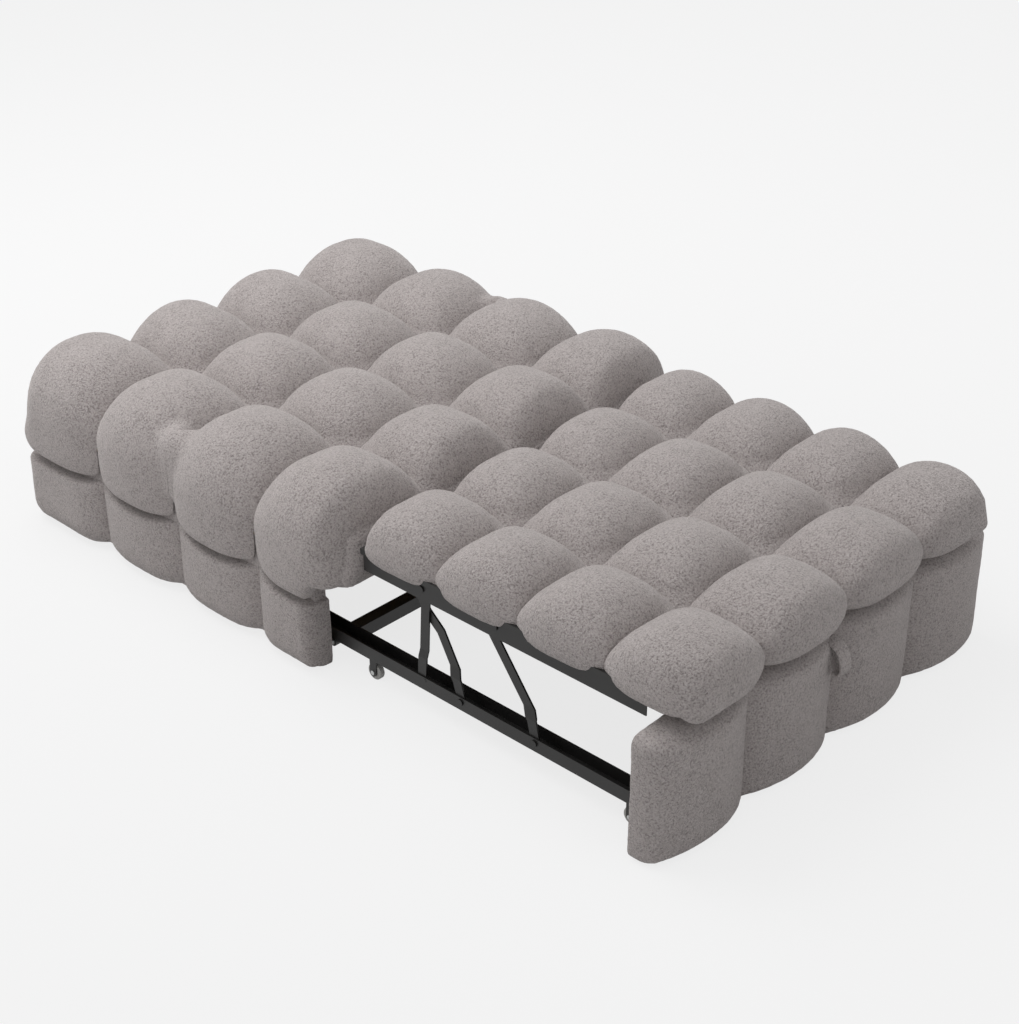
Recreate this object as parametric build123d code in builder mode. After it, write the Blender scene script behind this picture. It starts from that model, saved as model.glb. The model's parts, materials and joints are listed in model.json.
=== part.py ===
"""Armless pull-out sofa bed, shown opened as a bed.

X runs across the bed, +Y points to the rear (the backrest end) and +Z is up.
The origin is on the floor, at the centre of the whole bed's footprint.
Left is the -X side and right is the +X side.
"""

import math
import os

from build123d import *

# Bubbles of the upholstery
row_count = 4                 # bubbles across the bed
row_pitch = 254.0             # one bubble of the main unit, across
column_pitch = 264.0          # one bubble of the main unit, along the bed
seat_columns = 2              # seat bubbles along the bed
back_columns = 2              # backrest bubbles along the bed
pull_row_pitch = 250.0        # one bubble of the pull-out cushion, across
pull_column_pitch = 207.0     # one bubble of the pull-out cushion, along
pull_columns = 4
main_bubble_rise = 69.0       # crown of a main bubble above its tuft lines
pull_bubble_rise = 43.0
side_bulge = 26.0             # how far a bubble swells sideways past its seams
pull_side_bulge = 9.0
pull_front_bulge = 26.0
nose_overhang = 19.0          # pull-out cushion's nose in front of the panel's channels
back_bulge = 22.0
lengthwise_step = 2.0         # lengthwise arches rise and dip this much more than crosswise ones

# Clearances
soft_gap = 0.3                # soft piece to its neighbour
plate_gap = 0.5               # between link arms that pass each other
running_clearance = 0.05      # radial, shaft in hole
open_pivot_clearance = 0.3    # radial, at the pivot that closes the linkage
washer_gap = 0.3              # axial play of a pivoted plate
cut_overrun = 5.0             # how far a cutting shape runs past the stock

# Base of the main unit
foot_height = 22.0
foot_radius = 20.0
foot_inset = 60.0             # foot centre from the end of its side board
base_wall_top = 246.0
board_thickness = 24.0
deck_thickness = 15.0
deck_inset = 8.0              # deck edge inside the outermost tuft line
base_setback = 86.0           # base front end behind the seat's front edge
base_end_pad = 14.0           # padding over the front end of a side board
base_pad_thickness = 17.0     # side padding at its channel seams
base_channel_bulge = 25.0
base_pad_bottom = 10.0
base_pad_rise = 26.0          # height of the channel seams above the padding bottom
pad_under_seam = 2.0          # side padding top below the skirt bottom
wall_lining = 2.0             # fabric on the inner face of the side board's end
corner_block_size = 45.0
corner_block_height = 180.0
back_pad_thickness = 23.0
pad_edge_inset = 5.0          # how far the padding's top and bottom edges draw in

# Seat and backrest
tuft_height = 107.0           # tuft lines above the deck
skirt_bottom = 197.0          # where the side bubbles end
front_skirt_bottom = 215.0
skirt_thickness = 9.5         # skirt at its seams
shoulder_inset = 38.0
shoulder_drop = 45.0
seat_nose_drop = 26.0         # front edge of the first bubble below its tuft line
deck_nose = 30.0              # deck front edge behind the seat's front edge
corner_reach = 46.0           # rounding of the cushions' outer corners, in plan
fold_gap = 5.0                # seat deck to backrest board, each side of the fold

# Fold hinges
fold_drop = 12.0              # fold pivot below the tuft line
fold_half_angle = 39.0        # half of the wedge left open above the fold, in degrees
leaf_thickness = 3.0
leaf_length = 95.0
leaf_reach = 50.0             # foot of the leaf's arm, from the fold
leaf_ear_radius = 11.0
hinge_pin_radius = 4.0
hinge_head_radius = 7.0
hinge_head_height = 1.8
leaf_screw_radius = 3.0
leaf_screw_head = 1.4
leaf_screw_depth = 14.0
leaf_screw_shares = (0.25, 0.55, 0.85)
leaf_slot_half_length = 62.0
leaf_clear = 2.2              # slot wall to the hinge's outer face

# Lower frame of the pull-out
rail_clearance = 55.0         # lower rail above the floor
rail_height = 29.0
rail_width = 38.0
rail_wall = 2.5
rail_side_gap = 16.0          # lower rail to the base's side board
rail_tail = 192.0             # rear end of the lower rails behind the split line
cross_bar_depth = 30.0
cross_bar_centre = 70.0       # rear cross bar behind the split line
end_cap_lip = 2.0
end_cap_plug = 12.0

# Front panel
panel_setback = 110.0         # panel's back face in front of the last tuft line
panel_lining = 3.0
panel_board_thickness = 18.0
panel_pad_thickness = 43.0    # front padding at its channel seams
panel_channel_bulge = 23.0
panel_top = 249.0
panel_bottom = 8.0
panel_channel_drop = 38.0     # height of the channel seams above the panel bottom
panel_edge_pad = 14.0         # padding around the panel board's edges
panel_corner_radius = 10.0
bracket_height = 70.0
bracket_width = 36.0
bracket_thickness = 3.0
bracket_screw_radius = 3.0
bracket_screw_head_radius = 6.0
bracket_screw_head = 2.5
bracket_screw_depth = 14.0
bracket_screw_spacing = 24.0

# Pull strap
strap_width = 34.0
strap_thickness = 3.0
strap_gap = 12.0              # finger gap inside the loop
strap_centre = 30.0           # strap left of the bed's centre line
strap_hang = 56.0             # loop below the panel's top
strap_anchor = 46.0           # flat tail on top of the panel

# Casters and guide rollers
wheel_radius = 18.0
wheel_width = 13.0
wheel_side_gap = 1.0
axle_radius = 3.0
axle_head_radius = 5.0
axle_head = 2.0
fork_wall = 2.5
fork_width = 18.0
rear_caster_y = -8.0          # from the split line
front_caster_setback = 52.0   # front caster behind the panel
guide_roller_radius = 11.0
guide_roller_length = 28.0
guide_axle_radius = 4.0
guide_axle_setback = 20.0     # first guide axle behind the base's front end
guide_axle_spacing = 30.0
guide_axle_bite = 18.0        # axle length inside the side board
guide_collar = 2.0
guide_collar_radius = 7.0

# Link arms
arm_rise = 215.0              # upper pivot above the lower pivot
arm_run = 95.0                # upper pivot behind the lower pivot
arm_width = 22.0
arm_thickness = 4.0
lower_pivot_rise = 18.0       # lower pivot above the rail's bottom
front_arm_foot = 455.0        # lower pivots in front of the split line
rear_arm_foot = 264.0
joggle_low = 46.0             # the joggle's ends above the lower pivot
joggle_high = 62.0
bolt_radius = 4.0
bolt_head_radius = 7.0
bolt_head = 3.0
nut_height = 3.6
spacer_radius = 6.5
arm_tube_radius = 8.0
arm_tube_wall = 1.5
arm_tube_inset = 17.0         # cross tube below the upper pivot, along the arm
front_arm_shares = ((0, 0), (0.11, 0.205), (0.28, 0.30), (1.25, 0.865), (1, 1))
rear_arm_shares = (
    (0, 0),
    (0.12, 0.18),
    (0.26, 0.28),
    (0.65, 0.59),
    (1.03, 0.73),
    (1.2, 0.86),
    (1, 1),
)

# Props that hold the platform up
prop_foot_rise = 4.0          # prop foot above the rail's top
prop_foot_y = 157.0           # prop foot in front of the split line
prop_joggle_low = 38.0        # the joggle's ends above the prop's foot
prop_joggle_high = 54.0
stop_pin_radius = 3.0
stop_pin_drop = 7.0           # stop pin below the rail's top
stop_pin_head = 1.5           # how far its head stands out at its rim
stop_pin_head_height = 0.5

# Platform and its cushion
platform_rail_drop = 24.0     # platform rail's lower edge below the upper pivots
platform_rail_height = 40.0
platform_rail_width = 33.5
platform_side_gap = 1.0       # platform rail outside the lower rail
platform_rear_gap = 10.0      # platform behind the split line's front side
platform_bar_height = 22.0
platform_bar_depth = 26.0
platform_deck_thickness = 12.0
platform_deck_overhang = 8.0
platform_nose = 14.0          # platform's front edge behind the panel's back face
pull_tuft_height = 52.0       # tuft lines above the platform deck
pull_side_overhang = 13.0     # cushion side seam outside the deck edge
pull_shoulder_inset = 18.0
pull_shoulder_drop = 26.0
lip_bottom = 259.0            # front lip of the cushion, above the panel's top
lip_clearance = 3.0
under_nose_shares = (0.38, 0.52)
deck_bolt_radius = 3.0
deck_bolt_head_radius = 8.0
deck_bolt_head = 1.6

# Levels
deck_top = base_wall_top + deck_thickness
deck_mid = (base_wall_top + deck_top) / 2
tuft_z = deck_top + tuft_height
main_crown_z = tuft_z + main_bubble_rise
long_tuft_z = tuft_z - lengthwise_step
long_crown_z = main_crown_z + lengthwise_step
fold_z = tuft_z - fold_drop
lower_pivot_z = rail_clearance + lower_pivot_rise
upper_pivot_z = lower_pivot_z + arm_rise
rail_top = rail_clearance + rail_height
guide_axle_z = rail_clearance - soft_gap - guide_roller_radius
prop_foot_z = rail_top + prop_foot_rise
stop_pin_z = rail_top - stop_pin_drop
platform_rail_bottom = upper_pivot_z - platform_rail_drop
platform_rail_top = platform_rail_bottom + platform_rail_height
platform_deck_top = platform_rail_top + platform_deck_thickness
pull_tuft_z = platform_deck_top + pull_tuft_height
pull_crown_z = pull_tuft_z + pull_bubble_rise
long_pull_tuft_z = pull_tuft_z - lengthwise_step
long_pull_crown_z = pull_crown_z + lengthwise_step

# Places along the bed. The split line is where the pull-out meets the seat.
seat_length = seat_columns * column_pitch
back_length = back_columns * column_pitch
main_length = seat_length + back_length
panel_back = (pull_columns - 1) * pull_column_pitch + panel_setback
panel_depth = panel_lining + panel_board_thickness + panel_pad_thickness + panel_channel_bulge
pull_reach = panel_back + panel_depth + nose_overhang
split_y = (pull_reach - main_length - back_bulge) / 2
fold_y = split_y + seat_length
main_rear_y = split_y + main_length
base_front_y = split_y + base_setback
back_board_rear_y = main_rear_y - back_pad_thickness
back_board_front_y = back_board_rear_y - board_thickness
side_board_front_y = base_front_y + base_end_pad
panel_back_y = split_y - panel_back
panel_board_rear_y = panel_back_y - panel_lining
panel_board_front_y = panel_board_rear_y - panel_board_thickness
bracket_rear_y = panel_board_rear_y + bracket_thickness
panel_front_y = panel_board_front_y - panel_pad_thickness
platform_front_y = panel_back_y + platform_nose
platform_rear_y = split_y - platform_rear_gap
pull_nose_y = split_y - pull_reach
rail_front_y = bracket_rear_y
rail_rear_y = split_y + rail_tail
front_pivot_y = split_y - front_arm_foot
rear_pivot_y = split_y - rear_arm_foot
prop_pivot_y = rear_pivot_y + arm_run
foot_y = split_y - prop_foot_y
stop_pin_reach = arm_width / 2 + stop_pin_radius + soft_gap
stop_pin_y = foot_y - math.sqrt(stop_pin_reach**2 - (prop_foot_z - stop_pin_z) ** 2)

# Places across the bed, as distances from the centre line
half_rows = row_count * row_pitch / 2
deck_half = half_rows - deck_inset
wall_inner = deck_half - board_thickness
moving_leaf_x = deck_half + leaf_thickness + soft_gap
skirt_inner = moving_leaf_x + leaf_thickness + hinge_head_height + leaf_clear
skirt_outer = skirt_inner + skirt_thickness
main_side_x = skirt_outer + side_bulge
base_seam_x = deck_half + base_pad_thickness
rail_outer = wall_inner - rail_side_gap
rail_inner = rail_outer - rail_width
flange_inner = rail_outer - rail_wall
layer_a_outer = flange_inner - plate_gap
layer_b_outer = layer_a_outer - arm_thickness - plate_gap
layer_c_outer = layer_b_outer - arm_thickness - plate_gap
layer_c_inner = layer_c_outer - arm_thickness
rail_centre = rail_outer - rail_width / 2
platform_rail_inner = rail_outer + platform_side_gap
platform_rail_outer = platform_rail_inner + rail_wall
platform_deck_half = platform_rail_outer + platform_deck_overhang
pull_seam_x = platform_deck_half + pull_side_overhang
pull_side_x = pull_seam_x + pull_side_bulge
panel_half = base_seam_x + wall_lining

SIDES = {"left": -1, "right": 1}
written = []


def write(piece, name):
    """Label a finished piece and write it to its own file."""
    piece.part.label = name
    export_step(piece.part, f"parts/{name}.step")
    written.append(name)


def block(x_low, x_high, y_low, y_high, z_low, z_high, mode=Mode.ADD):
    """A box between two corners, in the part that is being built."""
    centre = ((x_low + x_high) / 2, (y_low + y_high) / 2, (z_low + z_high) / 2)
    with Locations(centre):
        Box(x_high - x_low, y_high - y_low, z_high - z_low, mode=mode)


def cross_rod(side, inner, outer, y, z, radius, mode=Mode.ADD):
    """A round rod along X on one side of the bed, between two distances from its centre."""
    with BuildSketch(Plane.YZ.offset(side * inner)) as disc:
        with Locations((y, z)):
            Circle(radius)
    extrude(disc.sketch, amount=side * (outer - inner), mode=mode)


def arcs(joints, crowns):
    """A row of arcs from joint to joint, each over its own crown point."""
    for start, crown, end in zip(joints, crowns, joints[1:]):
        ThreePointArc(start, crown, end)


def halfway(values):
    """The middles between neighbouring values."""
    return [(low + high) / 2 for low, high in zip(values, values[1:])]


def steps(first, pitch, count):
    """Evenly spaced places, both ends included."""
    return [first + n * pitch for n in range(count + 1)]


def stroke(points, width):
    """A flat bar of one width with round ends, along a line of points."""
    for start, end in zip(points, points[1:]):
        run = Vector(*end) - Vector(*start)
        middle = (Vector(*start) + Vector(*end)) / 2
        turn = math.degrees(math.atan2(run.Y, run.X))
        with Locations(Location((middle.X, middle.Y, 0), (0, 0, turn))):
            Rectangle(run.length, width)
    with Locations(*points):
        Circle(width / 2)


def crown_face(seam, side, inner_valley, tuft, crown, shoulder_x, shoulder_z, side_z, bottom):
    """Front view of a bubbled cushion: domes across the top and round cheeks at its sides."""
    pitch = inner_valley / (row_count / 2 - 1)
    valleys = steps(-inner_valley, pitch, row_count - 2)
    joints = [(x, tuft) for x in valleys]
    crowns = [(x, crown) for x in halfway(valleys)]
    outer_crown_x = (inner_valley + shoulder_x) / 2
    with BuildLine() as outline:
        arcs(joints, crowns)
        for sign in SIDES.values():
            ThreePointArc(
                (sign * inner_valley, tuft), (sign * outer_crown_x, crown), (sign * shoulder_x, shoulder_z)
            )
            swell = side + lengthwise_step
            ThreePointArc((sign * shoulder_x, shoulder_z), (sign * swell, side_z), (sign * seam, bottom))
        Line((-seam, bottom), (seam, bottom))
    make_face(outline.edges())


def main_front_face():
    """Front view shared by the seat and the backrest."""
    crown_face(
        skirt_outer,
        main_side_x,
        half_rows - row_pitch,
        tuft_z,
        main_crown_z,
        main_side_x - shoulder_inset,
        main_crown_z - shoulder_drop,
        (skirt_bottom + main_crown_z) / 2 - side_bulge / 2,
        skirt_bottom,
    )


def through_y(y_low, y_high):
    """A front-view plane halfway between two places, and half their distance."""
    return Plane.XZ.offset(-(y_low + y_high) / 2), (y_high - y_low) / 2


def fold_slots(mode=Mode.SUBTRACT):
    """Room in a cushion for the hinge leaves at both ends of the fold."""
    for sign in SIDES.values():
        near, far = sorted((sign * (deck_half - soft_gap), sign * skirt_inner))
        block(
            near,
            far,
            fold_y - leaf_slot_half_length,
            fold_y + leaf_slot_half_length,
            base_wall_top,
            fold_z + leaf_ear_radius + leaf_clear,
            mode=mode,
        )


def fold_wedge(mode=Mode.SUBTRACT):
    """The wedge that lets the backrest swing up against the seat."""
    height = main_crown_z - fold_z + cut_overrun
    half_width = height * math.tan(math.radians(fold_half_angle))
    with BuildSketch(Plane.YZ) as wedge:
        with BuildLine():
            top_z = fold_z + height
            low, high = fold_y - half_width, fold_y + half_width
            Polyline((fold_y, fold_z), (low, top_z), (high, top_z), close=True)
        make_face()
    extrude(wedge.sketch, amount=main_side_x + cut_overrun, both=True, mode=mode)


def seat_plan():
    """Plan of the seat cushion: swollen sides, flat front and rear, round front corners."""
    rear = fold_y - soft_gap
    front = split_y + soft_gap
    ys = [rear, split_y + column_pitch, split_y + corner_reach]
    with BuildLine() as outline:
        for sign in SIDES.values():
            arcs([(sign * skirt_outer, y) for y in ys], [(sign * main_side_x, y) for y in halfway(ys)])
            ThreePointArc(
                (sign * skirt_outer, split_y + corner_reach),
                (sign * (skirt_outer - corner_reach / 4), split_y + corner_reach / 4),
                (sign * (skirt_outer - corner_reach), front),
            )
        Line((-skirt_outer + corner_reach, front), (skirt_outer - corner_reach, front))
        Line((-skirt_outer, rear), (skirt_outer, rear))
    make_face(outline.edges())


def seat_side():
    """Side view of the seat cushion, with its front skirt in front of the base."""
    front = split_y + soft_gap
    rear = fold_y - soft_gap
    first_tuft = split_y + column_pitch
    front_z = long_tuft_z - seat_nose_drop
    with BuildLine() as outline:
        ThreePointArc((front, front_z), ((front + first_tuft) / 2, long_crown_z), (first_tuft, long_tuft_z))
        middle = (first_tuft + rear) / 2
        ThreePointArc((first_tuft, long_tuft_z), (middle, long_crown_z), (rear, long_tuft_z))
        Polyline(
            (rear, long_tuft_z),
            (rear, skirt_bottom),
            (base_front_y, skirt_bottom),
            (base_front_y, front_skirt_bottom),
            (front + seat_nose_drop, front_skirt_bottom),
        )
        ThreePointArc(
            (front + seat_nose_drop, front_skirt_bottom),
            (front + seat_nose_drop / 4, front_skirt_bottom + seat_nose_drop / 4),
            (front, front_skirt_bottom + seat_nose_drop),
        )
        Line((front, front_skirt_bottom + seat_nose_drop), (front, front_z))
    make_face(outline.edges())


def back_plan():
    """Plan of the backrest cushion, swollen at its sides and rear."""
    front = fold_y + soft_gap
    corner_y = main_rear_y - corner_reach / 2
    corner_x = skirt_outer - corner_reach / 2
    ys = [front, fold_y + column_pitch, corner_y]
    xs = steps(-corner_x, 2 * corner_x / row_count, row_count)
    with BuildLine() as outline:
        for sign in SIDES.values():
            arcs([(sign * skirt_outer, y) for y in ys], [(sign * main_side_x, y) for y in halfway(ys)])
            Line((sign * skirt_outer, corner_y), (sign * corner_x, main_rear_y))
        arcs([(x, main_rear_y) for x in xs], [(x, main_rear_y + back_bulge) for x in halfway(xs)])
        Line((-skirt_outer, front), (skirt_outer, front))
    make_face(outline.edges())


def back_side():
    """Side view of the backrest cushion."""
    front = fold_y + soft_gap
    second = fold_y + column_pitch
    top_rear = main_rear_y - shoulder_inset / 2
    with BuildLine() as outline:
        ThreePointArc((front, long_tuft_z), ((front + second) / 2, long_crown_z), (second, long_tuft_z))
        ThreePointArc(
            (second, long_tuft_z),
            ((second + top_rear) / 2, long_crown_z),
            (top_rear, long_crown_z - shoulder_drop),
        )
        ThreePointArc(
            (top_rear, long_crown_z - shoulder_drop),
            (main_rear_y + back_bulge, (skirt_bottom + long_crown_z) / 2),
            (main_rear_y - soft_gap, skirt_bottom),
        )
        Polyline((main_rear_y - soft_gap, skirt_bottom), (front, skirt_bottom), (front, long_tuft_z))
    make_face(outline.edges())


def build_seat_cushion():
    """Seat cushion: foam and cover over the deck, with skirts over the base's sides."""
    plane, half = through_y(split_y - cut_overrun, fold_y + cut_overrun)
    with BuildPart() as cushion:
        with BuildSketch(plane):
            main_front_face()
        extrude(amount=half, both=True)
        with BuildSketch(Plane.YZ):
            seat_side()
        extrude(amount=main_side_x + cut_overrun, both=True, mode=Mode.INTERSECT)
        with BuildSketch(Plane.XY):
            seat_plan()
        extrude(amount=main_crown_z + cut_overrun, mode=Mode.INTERSECT)
        block(
            -skirt_inner,
            skirt_inner,
            base_front_y - soft_gap,
            fold_y + cut_overrun,
            skirt_bottom - cut_overrun,
            deck_top + soft_gap,
            mode=Mode.SUBTRACT,
        )
        block(
            -deck_half - soft_gap,
            deck_half + soft_gap,
            split_y + deck_nose - soft_gap,
            base_front_y,
            base_wall_top - soft_gap,
            deck_top + soft_gap,
            mode=Mode.SUBTRACT,
        )
        fold_slots()
        fold_wedge()
    write(cushion, "seat_cushion")


def build_backrest_cushion():
    """Backrest cushion: the same foam and cover, over the hinged board."""
    plane, half = through_y(fold_y - cut_overrun, main_rear_y + back_bulge + cut_overrun)
    with BuildPart() as cushion:
        with BuildSketch(plane):
            main_front_face()
        extrude(amount=half, both=True)
        with BuildSketch(Plane.YZ):
            back_side()
        extrude(amount=main_side_x + cut_overrun, both=True, mode=Mode.INTERSECT)
        with BuildSketch(Plane.XY):
            back_plan()
        extrude(amount=main_crown_z + cut_overrun, mode=Mode.INTERSECT)
        block(
            -skirt_inner,
            skirt_inner,
            fold_y - cut_overrun,
            back_board_rear_y + soft_gap,
            skirt_bottom - cut_overrun,
            deck_top + soft_gap,
            mode=Mode.SUBTRACT,
        )
        fold_slots()
        fold_wedge()
    write(cushion, "backrest_cushion")


def build_decks():
    """Plywood deck under the seat, and the plywood board of the backrest."""
    with BuildPart() as deck:
        block(-deck_half, deck_half, split_y + deck_nose, fold_y - fold_gap, base_wall_top, deck_top)
        for sign in SIDES.values():
            for y in leaf_screw_places(-1):
                hole_end = deck_half - leaf_screw_depth
                cross_rod(sign, hole_end, deck_half, y, deck_mid, leaf_screw_radius, Mode.SUBTRACT)
    write(deck, "seat_deck")
    with BuildPart() as board:
        block(
            -moving_leaf_x,
            moving_leaf_x,
            fold_y + fold_gap,
            back_board_rear_y,
            base_wall_top + soft_gap,
            deck_top,
        )
        for sign in SIDES.values():
            for y in leaf_screw_places(1):
                hole_end = moving_leaf_x - leaf_screw_depth
                cross_rod(sign, hole_end, moving_leaf_x, y, deck_mid, leaf_screw_radius, Mode.SUBTRACT)
    write(board, "backrest_board")


def leaf_screw_places(direction):
    """Places of one leaf's screws: forward of the fold for -1, behind it for +1."""
    reach = leaf_length - fold_gap
    return [fold_y + direction * (fold_gap + reach * share) for share in leaf_screw_shares]


def leaf_outline(direction):
    """Side view of a hinge leaf: a strip on the board's edge and an arm up to the pivot."""
    foot = fold_y + direction * fold_gap
    tip = fold_y + direction * leaf_length
    strip_top = deck_top - soft_gap
    strip_bottom = base_wall_top + soft_gap
    with BuildLine() as outline:
        Polyline(
            (foot, strip_bottom),
            (tip, strip_bottom),
            (tip, strip_top),
            (fold_y + direction * leaf_reach, strip_top),
            (fold_y + direction * leaf_ear_radius, fold_z),
            (fold_y, fold_z),
            (foot, strip_bottom),
        )
    make_face(outline.edges())
    with Locations((fold_y, fold_z)):
        Circle(leaf_ear_radius)


def build_fold_hinges():
    """Steel leaves, pins and screws of the hinges between the seat and the backrest."""
    leaves = {
        "hinge_fixed_leaves": (-1, deck_half, 0),
        "hinge_moving_leaves": (1, moving_leaf_x, running_clearance),
    }
    for name, (direction, face, clearance) in leaves.items():
        with BuildPart() as leaf:
            for sign in SIDES.values():
                with BuildSketch(Plane.YZ.offset(sign * face)):
                    leaf_outline(direction)
                    with Locations((fold_y, fold_z)):
                        Circle(hinge_pin_radius + clearance, mode=Mode.SUBTRACT)
                    with Locations(*[(y, deck_mid) for y in leaf_screw_places(direction)]):
                        Circle(leaf_screw_radius, mode=Mode.SUBTRACT)
                extrude(amount=sign * leaf_thickness)
        write(leaf, name)
    outer = moving_leaf_x + leaf_thickness + soft_gap
    with BuildPart() as pins:
        for sign in SIDES.values():
            cross_rod(sign, deck_half, outer, fold_y, fold_z, hinge_pin_radius)
            cross_rod(sign, outer, outer + hinge_head_height, fold_y, fold_z, hinge_head_radius)
    write(pins, "hinge_pins")
    screws = {"hinge_seat_screws": (-1, deck_half), "hinge_backrest_screws": (1, moving_leaf_x)}
    for name, (direction, face) in screws.items():
        leaf_face = face + leaf_thickness
        with BuildPart() as group:
            for sign in SIDES.values():
                for y in leaf_screw_places(direction):
                    cross_rod(sign, face - leaf_screw_depth, leaf_face, y, deck_mid, leaf_screw_radius)
                    head_end = leaf_face + leaf_screw_head
                    cross_rod(sign, leaf_face, head_end, y, deck_mid, 2 * leaf_screw_radius)
        write(group, name)


def build_base_boards():
    """Timber sides and back of the base, with the blocks in its corners and its feet."""
    for name, sign in SIDES.items():
        near, far = sorted((sign * wall_inner, sign * deck_half))
        with BuildPart() as board:
            block(near, far, side_board_front_y, back_board_front_y, foot_height, base_wall_top)
            for y in guide_axle_places():
                cross_rod(
                    sign,
                    wall_inner,
                    wall_inner + guide_axle_bite,
                    y,
                    guide_axle_z,
                    guide_axle_radius,
                    Mode.SUBTRACT,
                )
        write(board, f"base_side_board_{name}")
    with BuildPart() as back:
        block(-deck_half, deck_half, back_board_front_y, back_board_rear_y, foot_height, base_wall_top)
    write(back, "base_back_board")
    with BuildPart() as blocks:
        for sign in SIDES.values():
            near, far = sorted((sign * (wall_inner - corner_block_size), sign * wall_inner))
            block(
                near,
                far,
                back_board_front_y - corner_block_size,
                back_board_front_y,
                foot_height,
                foot_height + corner_block_height,
            )
    write(blocks, "base_corner_blocks")
    with BuildPart() as feet:
        for sign in SIDES.values():
            for y in (side_board_front_y + foot_inset, back_board_front_y - foot_inset):
                with BuildSketch():
                    with Locations((sign * (deck_half - foot_radius), y)):
                        Circle(foot_radius)
        extrude(amount=foot_height)
        chamfer(feet.edges().group_by(Axis.Z)[0], length=foot_height / 8)
    write(feet, "base_feet")


def guide_axle_places():
    """Places of the guide axles along the bed."""
    first = base_front_y + guide_axle_setback
    return [first, first + guide_axle_spacing]


def pad_side_view(seams, bottom, rise, top):
    """Side view of channelled padding: flat top and a round bottom under each channel."""
    with BuildLine() as outline:
        arcs([(place, bottom + rise) for place in seams], [(place, bottom) for place in halfway(seams)])
        Polyline(
            (seams[0], bottom + rise), (seams[0], top), (seams[-1], top), (seams[-1], bottom + rise)
        )
    make_face(outline.edges())


def build_base_padding():
    """Channelled padding on the base's sides and back."""
    rear = back_board_rear_y
    inner_seams = steps(split_y + column_pitch, column_pitch, seat_columns + back_columns - 2)
    seams = [base_front_y] + inner_seams + [rear]
    top = skirt_bottom - pad_under_seam
    crown_x = base_seam_x + base_channel_bulge
    inner_x = wall_inner - wall_lining
    edge_x = base_seam_x - pad_edge_inset
    with BuildPart() as left_pad:
        with BuildSketch(Plane.XY):
            with BuildLine():
                arcs([(-base_seam_x, y) for y in seams], [(-crown_x, y) for y in halfway(seams)])
                Polyline(
                    (-base_seam_x, rear),
                    (-inner_x, rear),
                    (-inner_x, base_front_y),
                    (-base_seam_x, base_front_y),
                )
            make_face()
        extrude(amount=top)
        with BuildSketch(Plane.YZ):
            pad_side_view(seams, base_pad_bottom, base_pad_rise, top)
        extrude(amount=crown_x + cut_overrun, both=True, mode=Mode.INTERSECT)
        plane, half = through_y(base_front_y - cut_overrun, rear + cut_overrun)
        with BuildSketch(plane):
            with BuildLine():
                ThreePointArc(
                    (-edge_x, base_pad_bottom),
                    (-crown_x - lengthwise_step, (base_pad_bottom + top) / 2),
                    (-edge_x, top),
                )
                Polyline(
                    (-edge_x, top),
                    (-inner_x, top),
                    (-inner_x, base_pad_bottom),
                    (-edge_x, base_pad_bottom),
                )
            make_face()
        extrude(amount=half, both=True, mode=Mode.INTERSECT)
        block(
            -deck_half - soft_gap,
            -inner_x + cut_overrun,
            side_board_front_y - soft_gap,
            rear + cut_overrun,
            0,
            top + cut_overrun,
            mode=Mode.SUBTRACT,
        )
    write(left_pad, "base_side_padding_left")
    with BuildPart() as right_pad:
        mirror(left_pad.part, about=Plane.YZ)
    write(right_pad, "base_side_padding_right")
    back_seams = steps(-base_seam_x, 2 * base_seam_x / row_count, row_count)
    outer = main_rear_y - soft_gap
    with BuildPart() as pad:
        with BuildSketch(Plane.XY):
            with BuildLine():
                crown_y = main_rear_y + back_bulge / 2
                arcs([(x, outer) for x in back_seams], [(x, crown_y) for x in halfway(back_seams)])
                Polyline(
                    (back_seams[-1], outer),
                    (back_seams[-1], rear + soft_gap),
                    (back_seams[0], rear + soft_gap),
                    (back_seams[0], outer),
                )
            make_face()
        extrude(amount=top)
        plane, half = through_y(rear, main_rear_y + back_bulge)
        with BuildSketch(plane):
            pad_side_view(back_seams, base_pad_bottom, base_pad_rise, top)
        extrude(amount=half, both=True, mode=Mode.INTERSECT)
    write(pad, "base_back_padding")


def build_guides():
    """Axles and rollers on the base that the lower rails ride on."""
    roller_inner = rail_centre - guide_roller_length / 2
    roller_outer = rail_centre + guide_roller_length / 2
    collar_inner = roller_inner - soft_gap - guide_collar
    with BuildPart() as axles:
        for sign in SIDES.values():
            for y in guide_axle_places():
                end = wall_inner + guide_axle_bite
                cross_rod(sign, collar_inner, end, y, guide_axle_z, guide_axle_radius)
                end = collar_inner + guide_collar
                cross_rod(sign, collar_inner, end, y, guide_axle_z, guide_collar_radius)
                collar = roller_outer + soft_gap
                cross_rod(sign, collar, collar + guide_collar, y, guide_axle_z, guide_collar_radius)
    write(axles, "guide_axles")
    for name, sign in SIDES.items():
        for place, y in zip(("front", "rear"), guide_axle_places()):
            with BuildPart() as roller:
                cross_rod(sign, roller_inner, roller_outer, y, guide_axle_z, guide_roller_radius)
                cross_rod(
                    sign,
                    roller_inner - cut_overrun,
                    roller_outer + cut_overrun,
                    y,
                    guide_axle_z,
                    guide_axle_radius + running_clearance,
                    Mode.SUBTRACT,
                )
            write(roller, f"guide_roller_{place}_{name}")


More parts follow.
